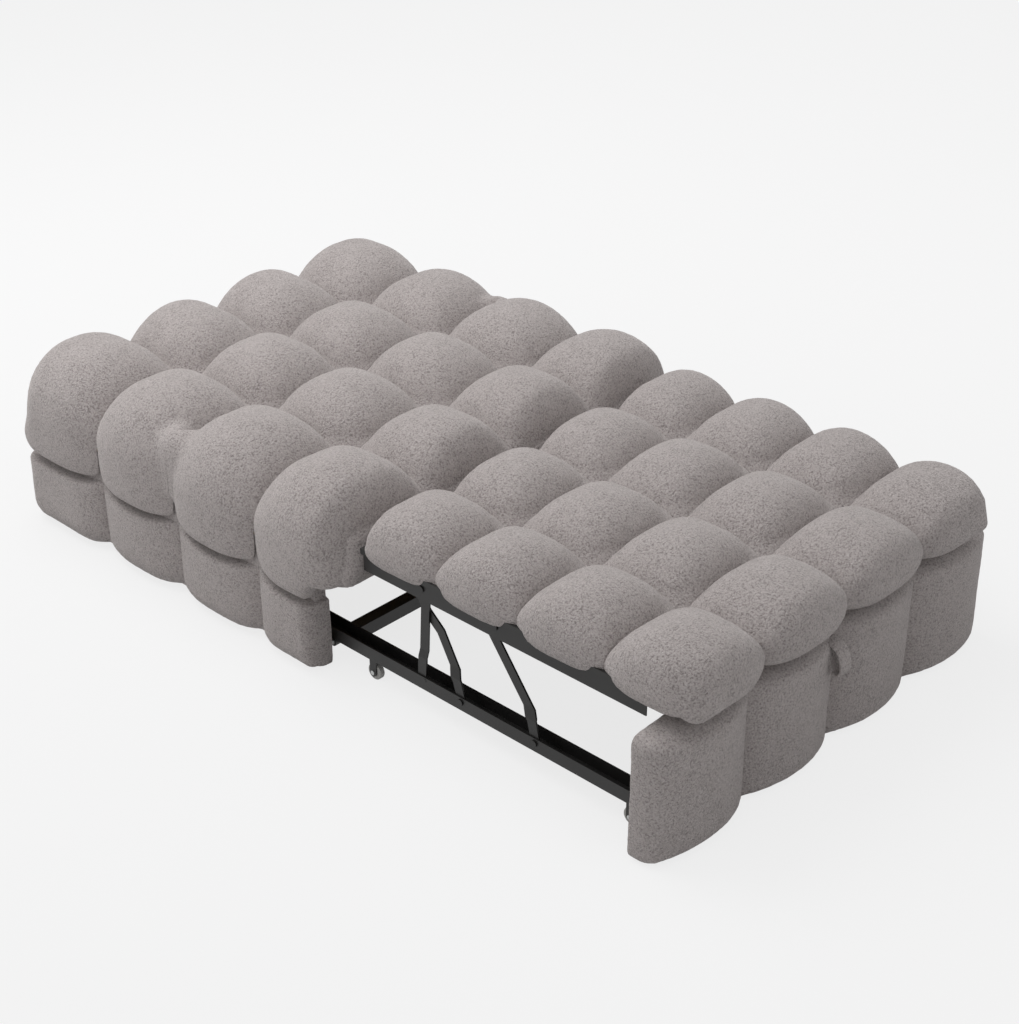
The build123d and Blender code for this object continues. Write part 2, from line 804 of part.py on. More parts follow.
def build_lower_rails():
    """Channels of the lower frame, open at the top, with plugs in their rear ends."""
    for name, sign in SIDES.items():
        near, far = sorted((sign * rail_inner, sign * rail_outer))
        hollow_near, hollow_far = sorted((sign * (rail_inner + rail_wall), sign * flange_inner))
        with BuildPart() as rail:
            block(near, far, rail_front_y, rail_rear_y, rail_clearance, rail_top)
            block(
                hollow_near,
                hollow_far,
                rail_front_y - cut_overrun,
                rail_rear_y + cut_overrun,
                rail_clearance + rail_wall,
                rail_top + cut_overrun,
                mode=Mode.SUBTRACT,
            )
            reach = rail_outer + cut_overrun
            for y in (front_pivot_y, rear_pivot_y):
                cross_rod(sign, layer_a_outer, reach, y, lower_pivot_z, bolt_radius, Mode.SUBTRACT)
            cross_rod(sign, layer_a_outer, reach, stop_pin_y, stop_pin_z, stop_pin_radius, Mode.SUBTRACT)
        write(rail, f"lower_rail_{name}")
    with BuildPart() as caps:
        for sign in SIDES.values():
            near, far = sorted((sign * rail_inner, sign * rail_outer))
            block(near, far, rail_rear_y, rail_rear_y + end_cap_lip, rail_clearance, rail_top)
            plug_near, plug_far = sorted((sign * (rail_inner + rail_wall), sign * flange_inner))
            block(
                plug_near,
                plug_far,
                rail_rear_y - end_cap_plug,
                rail_rear_y,
                rail_clearance + rail_wall,
                rail_top,
            )
    write(caps, "rail_end_caps")


def build_cross_bars():
    """Box-section bars that tie the lower rails, and the pins in front of the props' feet."""
    places = {
        "lower_cross_bar_rear": split_y + cross_bar_centre,
        "lower_cross_bar_front": bracket_rear_y + bracket_screw_head + cross_bar_depth / 2,
    }
    for name, y in places.items():
        y_low, y_high = y - cross_bar_depth / 2, y + cross_bar_depth / 2
        with BuildPart() as bar:
            block(-rail_inner, rail_inner, y_low, y_high, rail_clearance, rail_top)
            block(
                -rail_inner - cut_overrun,
                rail_inner + cut_overrun,
                y_low + rail_wall,
                y_high - rail_wall,
                rail_clearance + rail_wall,
                rail_top - rail_wall,
                mode=Mode.SUBTRACT,
            )
        write(bar, name)
    with BuildPart() as pins:
        for sign in SIDES.values():
            cross_rod(sign, layer_b_outer, rail_outer, stop_pin_y, stop_pin_z, stop_pin_radius)
            head_end = rail_outer + stop_pin_head_height
            head_radius = stop_pin_radius + stop_pin_head
            cross_rod(sign, rail_outer, head_end, stop_pin_y, stop_pin_z, head_radius)
    write(pins, "prop_stop_pins")


def bracket_screw_places():
    """Heights of the panel bracket's screws."""
    top = rail_clearance + bracket_height - 2 * bracket_screw_head_radius
    return [top - bracket_screw_spacing, top]


def build_front_panel():
    """Front panel: board, channelled padding, steel brackets and their screws."""
    half = panel_half - panel_edge_pad
    with BuildPart() as board:
        block(
            -half,
            half,
            panel_board_front_y,
            panel_board_rear_y,
            panel_bottom + panel_channel_drop,
            panel_top - panel_edge_pad,
        )
        for x in bracket_columns():
            for z in bracket_screw_places():
                hole_in_panel(x, z)
    write(board, "front_panel_board")
    seams = steps(-panel_half, 2 * panel_half / row_count, row_count)
    with BuildPart() as pad:
        with BuildSketch(Plane.XY):
            with BuildLine():
                crown_y = panel_front_y - panel_channel_bulge
                arcs([(x, panel_front_y) for x in seams], [(x, crown_y) for x in halfway(seams)])
                Polyline(
                    (seams[-1], panel_front_y),
                    (seams[-1], panel_back_y),
                    (seams[0], panel_back_y),
                    (seams[0], panel_front_y),
                )
            make_face()
        extrude(amount=panel_top)
        plane, depth = through_y(panel_front_y - 2 * panel_channel_bulge, panel_back_y + cut_overrun)
        with BuildSketch(plane):
            pad_side_view(seams, panel_bottom, panel_channel_drop, panel_top)
        extrude(amount=depth, both=True, mode=Mode.INTERSECT)
        top_edges = pad.edges().group_by(Axis.Z)[-1].filter_by(Axis.X)
        fillet(top_edges, radius=panel_corner_radius)
        block(
            -half - soft_gap,
            half + soft_gap,
            panel_board_front_y - soft_gap,
            panel_board_rear_y + soft_gap,
            panel_bottom + panel_channel_drop - soft_gap,
            panel_top - panel_edge_pad + soft_gap,
            mode=Mode.SUBTRACT,
        )
        for x in bracket_columns():
            block(
                x - bracket_width / 2 - soft_gap,
                x + bracket_width / 2 + soft_gap,
                panel_board_rear_y,
                panel_back_y + cut_overrun,
                rail_clearance - soft_gap,
                rail_clearance + bracket_height + soft_gap,
                mode=Mode.SUBTRACT,
            )
    write(pad, "front_panel_padding")


def bracket_columns():
    """Centres of the panel brackets across the bed, on the lower rails."""
    return [sign * rail_centre for sign in SIDES.values()]


def hole_in_panel(x, z):
    """One screw hole in the panel board."""
    with BuildSketch(Plane.XZ.offset(-panel_board_rear_y)) as hole:
        with Locations((x, z)):
            Circle(bracket_screw_radius)
    extrude(hole.sketch, amount=bracket_screw_depth, mode=Mode.SUBTRACT)


def build_panel_brackets():
    """Plates that join the panel board to the lower rails, and their screws."""
    with BuildPart() as plates:
        for x in bracket_columns():
            block(
                x - bracket_width / 2,
                x + bracket_width / 2,
                panel_board_rear_y,
                bracket_rear_y,
                rail_clearance,
                rail_clearance + bracket_height,
            )
            with BuildSketch(Plane.XZ.offset(-bracket_rear_y)):
                with Locations(*[(x, z) for z in bracket_screw_places()]):
                    Circle(bracket_screw_radius)
            extrude(amount=bracket_thickness, mode=Mode.SUBTRACT)
    write(plates, "panel_brackets")
    with BuildPart() as screws:
        for x in bracket_columns():
            for z in bracket_screw_places():
                with BuildSketch(Plane.XZ.offset(-bracket_rear_y)):
                    with Locations((x, z)):
                        Circle(bracket_screw_radius)
                extrude(amount=bracket_thickness + bracket_screw_depth)
                with BuildSketch(Plane.XZ.offset(-bracket_rear_y)):
                    with Locations((x, z)):
                        Circle(bracket_screw_head_radius)
                extrude(amount=-bracket_screw_head)
    write(screws, "panel_screws")


def build_pull_strap():
    """Woven loop that hangs over the panel's front: a flat tail on top, and a finger loop."""
    top = panel_top + soft_gap + strap_thickness / 2
    crown_y = panel_front_y - panel_channel_bulge
    inner_y = crown_y - soft_gap - strap_thickness / 2
    outer_y = inner_y - strap_gap - strap_thickness
    turn = (inner_y - outer_y) / 2
    bend_inset = turn * (1 - math.sqrt(1 / 2))
    low = panel_top - strap_hang
    with BuildPart() as strap:
        with BuildSketch(Plane.YZ.offset(-strap_centre)):
            with BuildLine() as path:
                Line((panel_front_y + strap_anchor, top), (outer_y + turn, top))
                bend = (outer_y + bend_inset, top - bend_inset)
                ThreePointArc((outer_y + turn, top), bend, (outer_y, top - turn))
                Line((outer_y, top - turn), (outer_y, low))
                ThreePointArc((outer_y, low), (outer_y + turn, low - turn), (inner_y, low))
                Line((inner_y, low), (inner_y, top - strap_anchor / 2))
            trace(line_width=strap_thickness)
        extrude(amount=strap_width / 2, both=True)
    write(strap, "pull_strap")


def caster_places():
    """Centres of the casters: name, X and Y."""
    rows = {"rear": split_y + rear_caster_y, "front": panel_back_y + front_caster_setback}
    return [
        (f"{row}_{name}", sign * rail_centre, y)
        for row, y in rows.items()
        for name, sign in SIDES.items()
    ]


def build_casters():
    """Fixed casters under the lower rails: forks, axles and wheels."""
    cheek_inner = wheel_width / 2 + wheel_side_gap
    cheek_outer = cheek_inner + fork_wall
    with BuildPart() as forks:
        for _, x, y in caster_places():
            y_low, y_high = y - fork_width / 2, y + fork_width / 2
            block(
                x - cheek_outer, x + cheek_outer, y_low, y_high, rail_clearance - fork_wall, rail_clearance
            )
            for sign in SIDES.values():
                near, far = sorted((x + sign * cheek_inner, x + sign * cheek_outer))
                block(near, far, y_low, y_high, wheel_radius, rail_clearance - fork_wall)
                with BuildSketch(Plane.YZ.offset(near)):
                    with Locations((y, wheel_radius)):
                        Circle(fork_width / 2)
                extrude(amount=fork_wall)
            with BuildSketch(Plane.YZ.offset(x)):
                with Locations((y, wheel_radius)):
                    Circle(axle_radius)
            extrude(amount=cheek_outer + cut_overrun, both=True, mode=Mode.SUBTRACT)
    write(forks, "caster_forks")
    with BuildPart() as axles:
        for _, x, y in caster_places():
            with BuildSketch(Plane.YZ.offset(x)):
                with Locations((y, wheel_radius)):
                    Circle(axle_radius)
            extrude(amount=cheek_outer, both=True)
            for sign in SIDES.values():
                with BuildSketch(Plane.YZ.offset(x + sign * cheek_outer)):
                    with Locations((y, wheel_radius)):
                        Circle(axle_head_radius)
                extrude(amount=sign * axle_head)
    write(axles, "caster_axles")
    for name, x, y in caster_places():
        with BuildPart() as wheel:
            with BuildSketch(Plane.YZ.offset(x)):
                with Locations((y, wheel_radius)):
                    Circle(wheel_radius)
            extrude(amount=wheel_width / 2, both=True)
            rims = wheel.edges().filter_by(GeomType.CIRCLE)
            fillet(rims, radius=wheel_width / 5)
            with BuildSketch(Plane.YZ.offset(x)):
                with Locations((y, wheel_radius)):
                    Circle(axle_radius + running_clearance)
            extrude(amount=wheel_width, both=True, mode=Mode.SUBTRACT)
        write(wheel, f"caster_wheel_{name}")


def joggled_plate(sign, points, joggle, low_layer, high_layer, holes):
    """A flat bar bent sideways once: one layer below the joggle and another above it."""
    z_low = min(z for _, z in points) - arm_width
    z_high = max(z for _, z in points) + arm_width
    joggle_start, joggle_end = joggle
    inner = high_layer - arm_thickness
    y_low = min(y for y, _ in points) - arm_width
    y_high = max(y for y, _ in points) + arm_width
    with BuildSketch(Plane.YZ.offset(sign * inner)) as outline:
        stroke(points, arm_width)
    extrude(outline.sketch, amount=sign * (low_layer - inner))
    plane, half = through_y(y_low, y_high)
    with BuildSketch(plane) as bend:
        with BuildLine():
            Polyline(
                (sign * low_layer, z_low),
                (sign * low_layer, joggle_start),
                (sign * high_layer, joggle_end),
                (sign * high_layer, z_high),
                (sign * inner, z_high),
                (sign * inner, joggle_end),
                (sign * (low_layer - arm_thickness), joggle_start),
                (sign * (low_layer - arm_thickness), z_low),
                close=True,
            )
        make_face()
    extrude(bend.sketch, amount=half, both=True, mode=Mode.INTERSECT)
    for (y, z), radius in holes:
        cross_rod(sign, inner - cut_overrun, low_layer + cut_overrun, y, z, radius, Mode.SUBTRACT)


def build_lift_arms():
    """The two pairs of lift arms, each pair tied by a round tube near its top."""
    pairs = {
        "front": (front_pivot_y, front_arm_shares, open_pivot_clearance),
        "rear": (rear_pivot_y, rear_arm_shares, running_clearance),
    }
    joggle = (lower_pivot_z + joggle_low, lower_pivot_z + joggle_high)
    for place, (pivot_y, shares, top_clearance) in pairs.items():
        points = [(pivot_y + arm_run * run, lower_pivot_z + arm_rise * rise) for run, rise in shares]
        holes = (
            (points[0], bolt_radius + running_clearance),
            (points[-1], bolt_radius + top_clearance),
        )
        for name, sign in SIDES.items():
            with BuildPart() as arm:
                joggled_plate(sign, points, joggle, layer_a_outer, layer_c_outer, holes)
            write(arm, f"{place}_lift_arm_{name}")
        pivot = Vector(*points[-1])
        centre = pivot + (Vector(*points[-2]) - pivot).normalized() * arm_tube_inset
        with BuildPart() as tube:
            with BuildSketch(Plane.YZ):
                with Locations((centre.X, centre.Y)):
                    Circle(arm_tube_radius)
                    Circle(arm_tube_radius - arm_tube_wall, mode=Mode.SUBTRACT)
            extrude(amount=layer_c_inner, both=True)
        write(tube, f"{place}_arm_cross_tube")


def build_props():
    """Props beside the rear lift arms, from the platform down into the lower rails."""
    points = [(foot_y, prop_foot_z), (prop_pivot_y, upper_pivot_z)]
    joggle = (prop_foot_z + prop_joggle_low, prop_foot_z + prop_joggle_high)
    for name, sign in SIDES.items():
        with BuildPart() as prop:
            holes = ((points[-1], bolt_radius + running_clearance),)
            joggled_plate(sign, points, joggle, layer_a_outer, layer_b_outer, holes)
        write(prop, f"prop_{name}")


def pivot_bolt(sign, y, z, face, tip, spacer_from=None, spacer_to=None):
    """A bolt along X from a rail's outer face inwards, with its nut and any spacer."""
    cross_rod(sign, tip, face, y, z, bolt_radius)
    cross_rod(sign, face, face + bolt_head, y, z, bolt_head_radius)
    cross_rod(sign, tip, tip + nut_height, y, z, bolt_head_radius)
    if spacer_from is not None:
        cross_rod(sign, spacer_from, spacer_to, y, z, spacer_radius)


def build_pivot_bolts():
    """Bolts at the lift arms' lower and upper pivots."""
    with BuildPart() as lower:
        for sign in SIDES.values():
            for y in (front_pivot_y, rear_pivot_y):
                tip = layer_a_outer - arm_thickness - washer_gap - nut_height
                pivot_bolt(sign, y, lower_pivot_z, rail_outer, tip)
    write(lower, "lower_pivot_bolts")
    tip = layer_c_inner - washer_gap - nut_height
    with BuildPart() as upper:
        for sign in SIDES.values():
            for y, layer in ((front_pivot_y + arm_run, layer_c_outer), (prop_pivot_y, layer_b_outer)):
                pivot_bolt(
                    sign, y, upper_pivot_z, platform_rail_outer, tip, layer + washer_gap, platform_rail_inner
                )
    write(upper, "upper_pivot_bolts")


def platform_bar_places():
    """Centres of the platform's cross bars along the bed."""
    front = platform_front_y + platform_bar_depth
    rear = platform_rear_y - platform_bar_depth
    middle = (front_pivot_y + arm_run + prop_pivot_y) / 2
    return {"front": front, "middle": middle, "rear": rear}


def build_platform_frame():
    """Angles along the platform's sides, box bars across it and the plywood deck on top."""
    top_flange_inner = platform_rail_outer - platform_rail_width
    for name, sign in SIDES.items():
        near, far = sorted((sign * top_flange_inner, sign * platform_rail_outer))
        hollow_end = top_flange_inner - cut_overrun
        hollow_near, hollow_far = sorted((sign * hollow_end, sign * platform_rail_inner))
        with BuildPart() as rail:
            block(near, far, platform_front_y, platform_rear_y, platform_rail_bottom, platform_rail_top)
            block(
                hollow_near,
                hollow_far,
                platform_front_y - cut_overrun,
                platform_rear_y + cut_overrun,
                platform_rail_bottom - cut_overrun,
                platform_rail_top - rail_wall,
                mode=Mode.SUBTRACT,
            )
            for y in (front_pivot_y + arm_run, prop_pivot_y):
                start = platform_rail_inner - rail_wall
                reach = platform_rail_outer + cut_overrun
                cross_rod(sign, start, reach, y, upper_pivot_z, bolt_radius, Mode.SUBTRACT)
        write(rail, f"platform_rail_{name}")
    bar_top = platform_rail_top
    bar_bottom = bar_top - platform_bar_height
    for name, y in platform_bar_places().items():
        y_low, y_high = y - platform_bar_depth / 2, y + platform_bar_depth / 2
        with BuildPart() as bar:
            block(-top_flange_inner, top_flange_inner, y_low, y_high, bar_bottom, bar_top)
            block(
                -top_flange_inner - cut_overrun,
                top_flange_inner + cut_overrun,
                y_low + rail_wall,
                y_high - rail_wall,
                bar_bottom + rail_wall,
                bar_top - rail_wall,
                mode=Mode.SUBTRACT,
            )
        write(bar, f"platform_cross_bar_{name}")
    with BuildPart() as deck:
        block(
            -platform_deck_half,
            platform_deck_half,
            platform_front_y,
            platform_rear_y,
            platform_rail_top,
            platform_deck_top,
        )
        for x, y in deck_bolt_places():
            with BuildSketch(Plane.XY.offset(platform_rail_top)):
                with Locations((x, y)):
                    Circle(deck_bolt_radius)
            extrude(amount=platform_deck_thickness, mode=Mode.SUBTRACT)
    write(deck, "platform_deck")


def deck_bolt_places():
    """Places of the bolts that hold the platform deck to the side angles."""
    x = platform_rail_outer - platform_rail_width / 2
    return [(sign * x, y) for sign in SIDES.values() for y in platform_bar_places().values()]


def build_pull_cushion():
    """Pull-out cushion: bubbles on the platform deck, with a lip over the platform's front."""
    shoulder_x = pull_side_x - pull_shoulder_inset
    shoulder_z = pull_crown_z - pull_shoulder_drop
    cushion_bottom = platform_deck_top + soft_gap
    rear = split_y - soft_gap
    front_tuft = split_y - (pull_columns - 1) * pull_column_pitch
    ys = steps(rear, -(rear - front_tuft) / (pull_columns - 1), pull_columns - 1)
    nose_z = (cushion_bottom + pull_tuft_z) / 2 + lip_clearance
    brow = (pull_nose_y + pull_front_bulge / 2, pull_crown_z - pull_shoulder_drop)
    lip_y = platform_front_y - 2 * soft_gap
    under_lip = (panel_back_y, lip_bottom)
    plane, half = through_y(pull_nose_y - cut_overrun, split_y + cut_overrun)
    with BuildPart() as cushion:
        with BuildSketch(plane):
            crown_face(
                pull_seam_x,
                pull_side_x,
                (row_count / 2 - 1) * pull_row_pitch,
                pull_tuft_z,
                pull_crown_z,
                shoulder_x,
                shoulder_z,
                (cushion_bottom + shoulder_z) / 2,
                lip_bottom,
            )
        extrude(amount=half, both=True)
        with BuildSketch(Plane.YZ):
            with BuildLine():
                arcs([(y, long_pull_tuft_z) for y in ys], [(y, long_pull_crown_z) for y in halfway(ys)])
                middle = (front_tuft + brow[0]) / 2
                ThreePointArc((front_tuft, long_pull_tuft_z), (middle, long_pull_crown_z), brow)
                ThreePointArc(brow, (pull_nose_y + soft_gap, (brow[1] + nose_z) / 2), (pull_nose_y, nose_z))
                ThreePointArc((pull_nose_y, nose_z), under_nose_point(nose_z), under_lip)
                Polyline(
                    under_lip,
                    (lip_y, lip_bottom),
                    (lip_y, cushion_bottom),
                    (rear, cushion_bottom),
                    (rear, long_pull_tuft_z),
                )
            make_face()
        extrude(amount=pull_side_x + cut_overrun, both=True, mode=Mode.INTERSECT)
        with BuildSketch(Plane.XY):
            pull_plan(ys, front_tuft, rear)
        extrude(amount=pull_crown_z + cut_overrun, mode=Mode.INTERSECT)
        for x, y in deck_bolt_places():
            with BuildSketch(Plane.XY.offset(cushion_bottom)):
                with Locations((x, y)):
                    Circle(deck_bolt_head_radius + soft_gap)
            extrude(amount=deck_bolt_head, mode=Mode.SUBTRACT)
    write(cushion, "pullout_cushion")


def under_nose_point(nose_z):
    """Middle of the cushion's underside, between its nose and the foot of its lip."""
    y_share, z_share = under_nose_shares
    y = pull_nose_y + (panel_back_y - pull_nose_y) * y_share
    return (y, nose_z - (nose_z - lip_bottom) * z_share)


def pull_plan(ys, front_tuft, rear):
    """Plan of the pull-out cushion: swollen sides and front, flat at the split line."""
    corner_y = pull_nose_y + pull_front_bulge + pull_shoulder_inset
    side_ys = ys + [corner_y]
    corner_x = pull_seam_x - pull_shoulder_inset
    front_y = pull_nose_y + pull_front_bulge
    xs = steps(-corner_x, 2 * corner_x / row_count, row_count)
    with BuildLine() as outline:
        for sign in SIDES.values():
            crowns = [(sign * pull_side_x, y) for y in halfway(side_ys)]
            arcs([(sign * pull_seam_x, y) for y in side_ys], crowns)
            Line((sign * pull_seam_x, corner_y), (sign * corner_x, front_y))
        crown_y = pull_nose_y - lengthwise_step
        arcs([(x, front_y) for x in xs], [(x, crown_y) for x in halfway(xs)])
        Line((-pull_seam_x, rear), (pull_seam_x, rear))
    make_face(outline.edges())


def build_deck_bolts():
    """Bolts through the platform deck and the side angles' top flanges."""
    with BuildPart() as bolts:
        for x, y in deck_bolt_places():
            with BuildSketch(Plane.XY.offset(platform_rail_top)):
                with Locations((x, y)):
                    Circle(deck_bolt_radius)
            extrude(amount=platform_deck_thickness)
            with BuildSketch(Plane.XY.offset(platform_deck_top)):
                with Locations((x, y)):
                    Circle(deck_bolt_head_radius)
            extrude(amount=deck_bolt_head)
    write(bolts, "platform_deck_screws")


os.makedirs("parts", exist_ok=True)
build_base_boards()
build_base_padding()
build_decks()
build_seat_cushion()
build_backrest_cushion()
build_fold_hinges()
build_guides()
build_lower_rails()
build_cross_bars()
build_front_panel()
build_panel_brackets()
build_pull_strap()
build_casters()
build_lift_arms()
build_props()
build_pivot_bolts()
build_platform_frame()
build_pull_cushion()
build_deck_bolts()
print(len(written), "pieces written")
print("bed length", pull_reach + main_length + back_bulge)
print("bed width", 2 * main_side_x)
print("bed height", main_crown_z)
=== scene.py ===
"""Pull-out sofa bed with bubble tufting in looped pile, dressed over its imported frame.

All lengths are in metres, in the frame's own axes: X across the bed, +Y to the
backrest end and +Z up. The photographed view looks from the front left, from above.
"""

import json
import math

import bmesh
import bpy
import numpy as np
from bpy.props import FloatProperty, FloatVectorProperty, IntProperty, PointerProperty
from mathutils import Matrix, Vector


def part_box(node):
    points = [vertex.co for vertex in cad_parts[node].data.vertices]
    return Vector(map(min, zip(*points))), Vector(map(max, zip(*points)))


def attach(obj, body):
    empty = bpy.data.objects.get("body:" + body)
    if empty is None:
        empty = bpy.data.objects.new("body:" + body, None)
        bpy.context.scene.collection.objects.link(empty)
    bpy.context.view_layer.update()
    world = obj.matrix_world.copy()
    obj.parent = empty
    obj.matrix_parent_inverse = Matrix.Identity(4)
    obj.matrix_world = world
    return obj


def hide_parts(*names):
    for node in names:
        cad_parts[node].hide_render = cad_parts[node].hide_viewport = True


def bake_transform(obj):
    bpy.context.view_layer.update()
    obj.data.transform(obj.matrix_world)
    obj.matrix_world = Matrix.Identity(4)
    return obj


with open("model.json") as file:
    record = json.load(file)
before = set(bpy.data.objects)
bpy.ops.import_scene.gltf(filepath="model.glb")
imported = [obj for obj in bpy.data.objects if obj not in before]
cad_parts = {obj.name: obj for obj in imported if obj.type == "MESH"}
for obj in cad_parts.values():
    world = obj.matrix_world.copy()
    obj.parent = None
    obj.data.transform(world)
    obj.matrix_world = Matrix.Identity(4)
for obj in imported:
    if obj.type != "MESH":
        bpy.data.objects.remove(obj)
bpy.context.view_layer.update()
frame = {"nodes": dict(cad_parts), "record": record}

MM = 0.001

bl_info = {
    "name": "Bubble Sofa Bed",
    "version": (1, 0, 0),
    "blender": (4, 5, 0),
    "location": "View3D > Sidebar > Sofa Bed",
    "description": "Builds the covers, padding, strap, finishes and studio of a pull-out sofa bed",
    "category": "Object",
}


def linear(code):
    """Linear RGB of an sRGB hex colour."""
    channels = [int(code[place : place + 2], 16) / 255 for place in (0, 2, 4)]
    return [c / 12.92 if c <= 0.04045 else ((c + 0.055) / 1.055) ** 2.4 for c in channels]


def rgba(colour):
    """A colour with full alpha, as shader sockets want it."""
    return (*colour[:3], 1.0)


def put(tree, kind, inputs=None, **settings):
    """Adds a node with its settings, and links or sets its inputs."""
    node = tree.nodes.new(kind)
    for name, value in settings.items():
        setattr(node, name, value)
    for name, value in (inputs or {}).items():
        socket = node.inputs[name]
        if isinstance(value, bpy.types.NodeSocket):
            tree.links.new(value, socket)
        else:
            socket.default_value = value
    return node


class CoverSettings(bpy.types.PropertyGroup):
    """Looped pile of the covers."""

    curl: FloatProperty(
        name="Curl size", description="Width of one curl of the pile",
        default=3.6 * MM, unit="LENGTH",
    )
    curl_height: FloatProperty(
        name="Curl height", description="How far curls stand out in the relief",
        default=3.0 * MM, unit="LENGTH",
    )
    lump: FloatProperty(
        name="Lump size", description="Width of the clumps that the curls gather in",
        default=11 * MM, unit="LENGTH",
    )
    lump_height: FloatProperty(
        name="Lump height", description="How far clumps stand out of the cover",
        default=0.9 * MM, unit="LENGTH",
    )
    sag: FloatProperty(
        name="Sag size", description="Width of the cover's soft dents",
        default=150 * MM, unit="LENGTH",
    )
    sag_height: FloatProperty(
        name="Sag height", description="How deep the soft dents are",
        default=2.5 * MM, unit="LENGTH",
    )
    seam_angle: FloatProperty(
        name="Seam angle", description="Turn of the cover from which an edge is drawn crisp",
        default=math.radians(50), unit="ROTATION",
    )
    # The pile's colours: the yarn's mixed greys, with painted light on the curls' tips and painted
    # shade between the curls
    light: FloatVectorProperty(
        name="Curl tips", description="Colour of the curls' tips",
        subtype="COLOR", default=linear("c4bdbb"),
    )
    middle: FloatVectorProperty(
        name="Curls", description="Colour of most of the pile",
        subtype="COLOR", default=linear("b0a8a6"),
    )
    # Painted shade deep in the pile, between the curls
    dark: FloatVectorProperty(
        name="Between curls", description="Colour deep in the pile",
        subtype="COLOR", default=linear("88817f"),
    )


class BubbleSettings(bpy.types.PropertyGroup):
    """Tufting of the cushions and channels of the padding."""

    plan_power: FloatProperty(
        name="Plan power", description="How squarely a bubble fills its place in plan: 2 is round",
        default=3.0,
    )
    dome: FloatProperty(
        name="Dome", description="Radius of a bubble's ball shape, in half widths", default=1.19
    )
    pit: FloatProperty(
        name="Pit", description="How steeply the cover dives where four bubbles meet", default=1.7
    )
    unevenness: FloatProperty(
        name="Unevenness", description="Share by which bubbles differ in fullness", default=0.025
    )
    mesh_size: FloatProperty(
        name="Mesh size", description="Spacing of the cover's mesh", default=5.5 * MM, unit="LENGTH"
    )
    seed: IntProperty(name="Seed", description="Seed of the bubbles' fullness", default=4)


class StageSettings(bpy.types.PropertyGroup):
    """Camera, lamps and backdrop."""

    lens: FloatProperty(
        name="Lens", description="Focal length on a 36 mm sensor, in mm", default=66.16
    )
    backdrop: FloatVectorProperty(
        name="Backdrop", description="Colour of the floor and the background",
        subtype="COLOR", default=linear("f4f4f4"),
    )
    sky: FloatProperty(
        name="Sky", description="Strength of the light from all sides", default=0.56
    )
    key: FloatProperty(
        name="Key lamp", description="Power of the large lamp overhead", default=91.0, unit="POWER"
    )
    fill: FloatProperty(
        name="Fill lamp", description="Power of the lamp at the left", default=8.0, unit="POWER"
    )


def smooth_step(value, low, high):
    """0 below low, 1 above high and an even turn between them."""
    share = np.clip((value - low) / (high - low), 0, 1)
    return share * share * (3 - 2 * share)


def seam_lines(low, high, seams, spacing):
    """Mesh lines from low to high, closer together at the seams."""
    gathering = 0.55                               # 0 is even and 1 meets at the seams
    ends = [low, *[s for s in seams if low < s < high], high]
    lines = [low]
    for start, end in zip(ends, ends[1:]):
        count = max(4, round((end - start) / spacing))
        share = np.arange(1, count + 1) / count
        share = share - gathering * np.sin(2 * np.pi * share) / (2 * np.pi)
        lines.extend(start + (end - start) * share)
    return np.array(lines)


def seam_share(place, seams, half):
    """1 on a seam and 0 on the crown of a bubble.

    half is the way from the first or the last seam to the crown of the bubble outside it.
    """
    if not len(seams):
        return np.zeros(len(place))
    seams = np.array(sorted(seams))
    after = np.searchsorted(seams, place)
    before = np.clip(after - 1, 0, len(seams) - 1)
    after = np.clip(after, 0, len(seams) - 1)
    inside = (place > seams[0]) & (place < seams[-1])
    halves = np.where(inside, (seams[after] - seams[before]) / 2, half)
    halves = np.maximum(halves, 1 * MM)
    distance = np.minimum(np.abs(place - seams[before]), np.abs(place - seams[after]))
    return 1 - np.clip(distance / halves, 0, 1)


def cell(place, seams):
    """Number of the bubble that a place is in, along one axis."""
    if not len(seams):
        return np.zeros(len(place), int)
    return np.searchsorted(np.array(sorted(seams)), place)


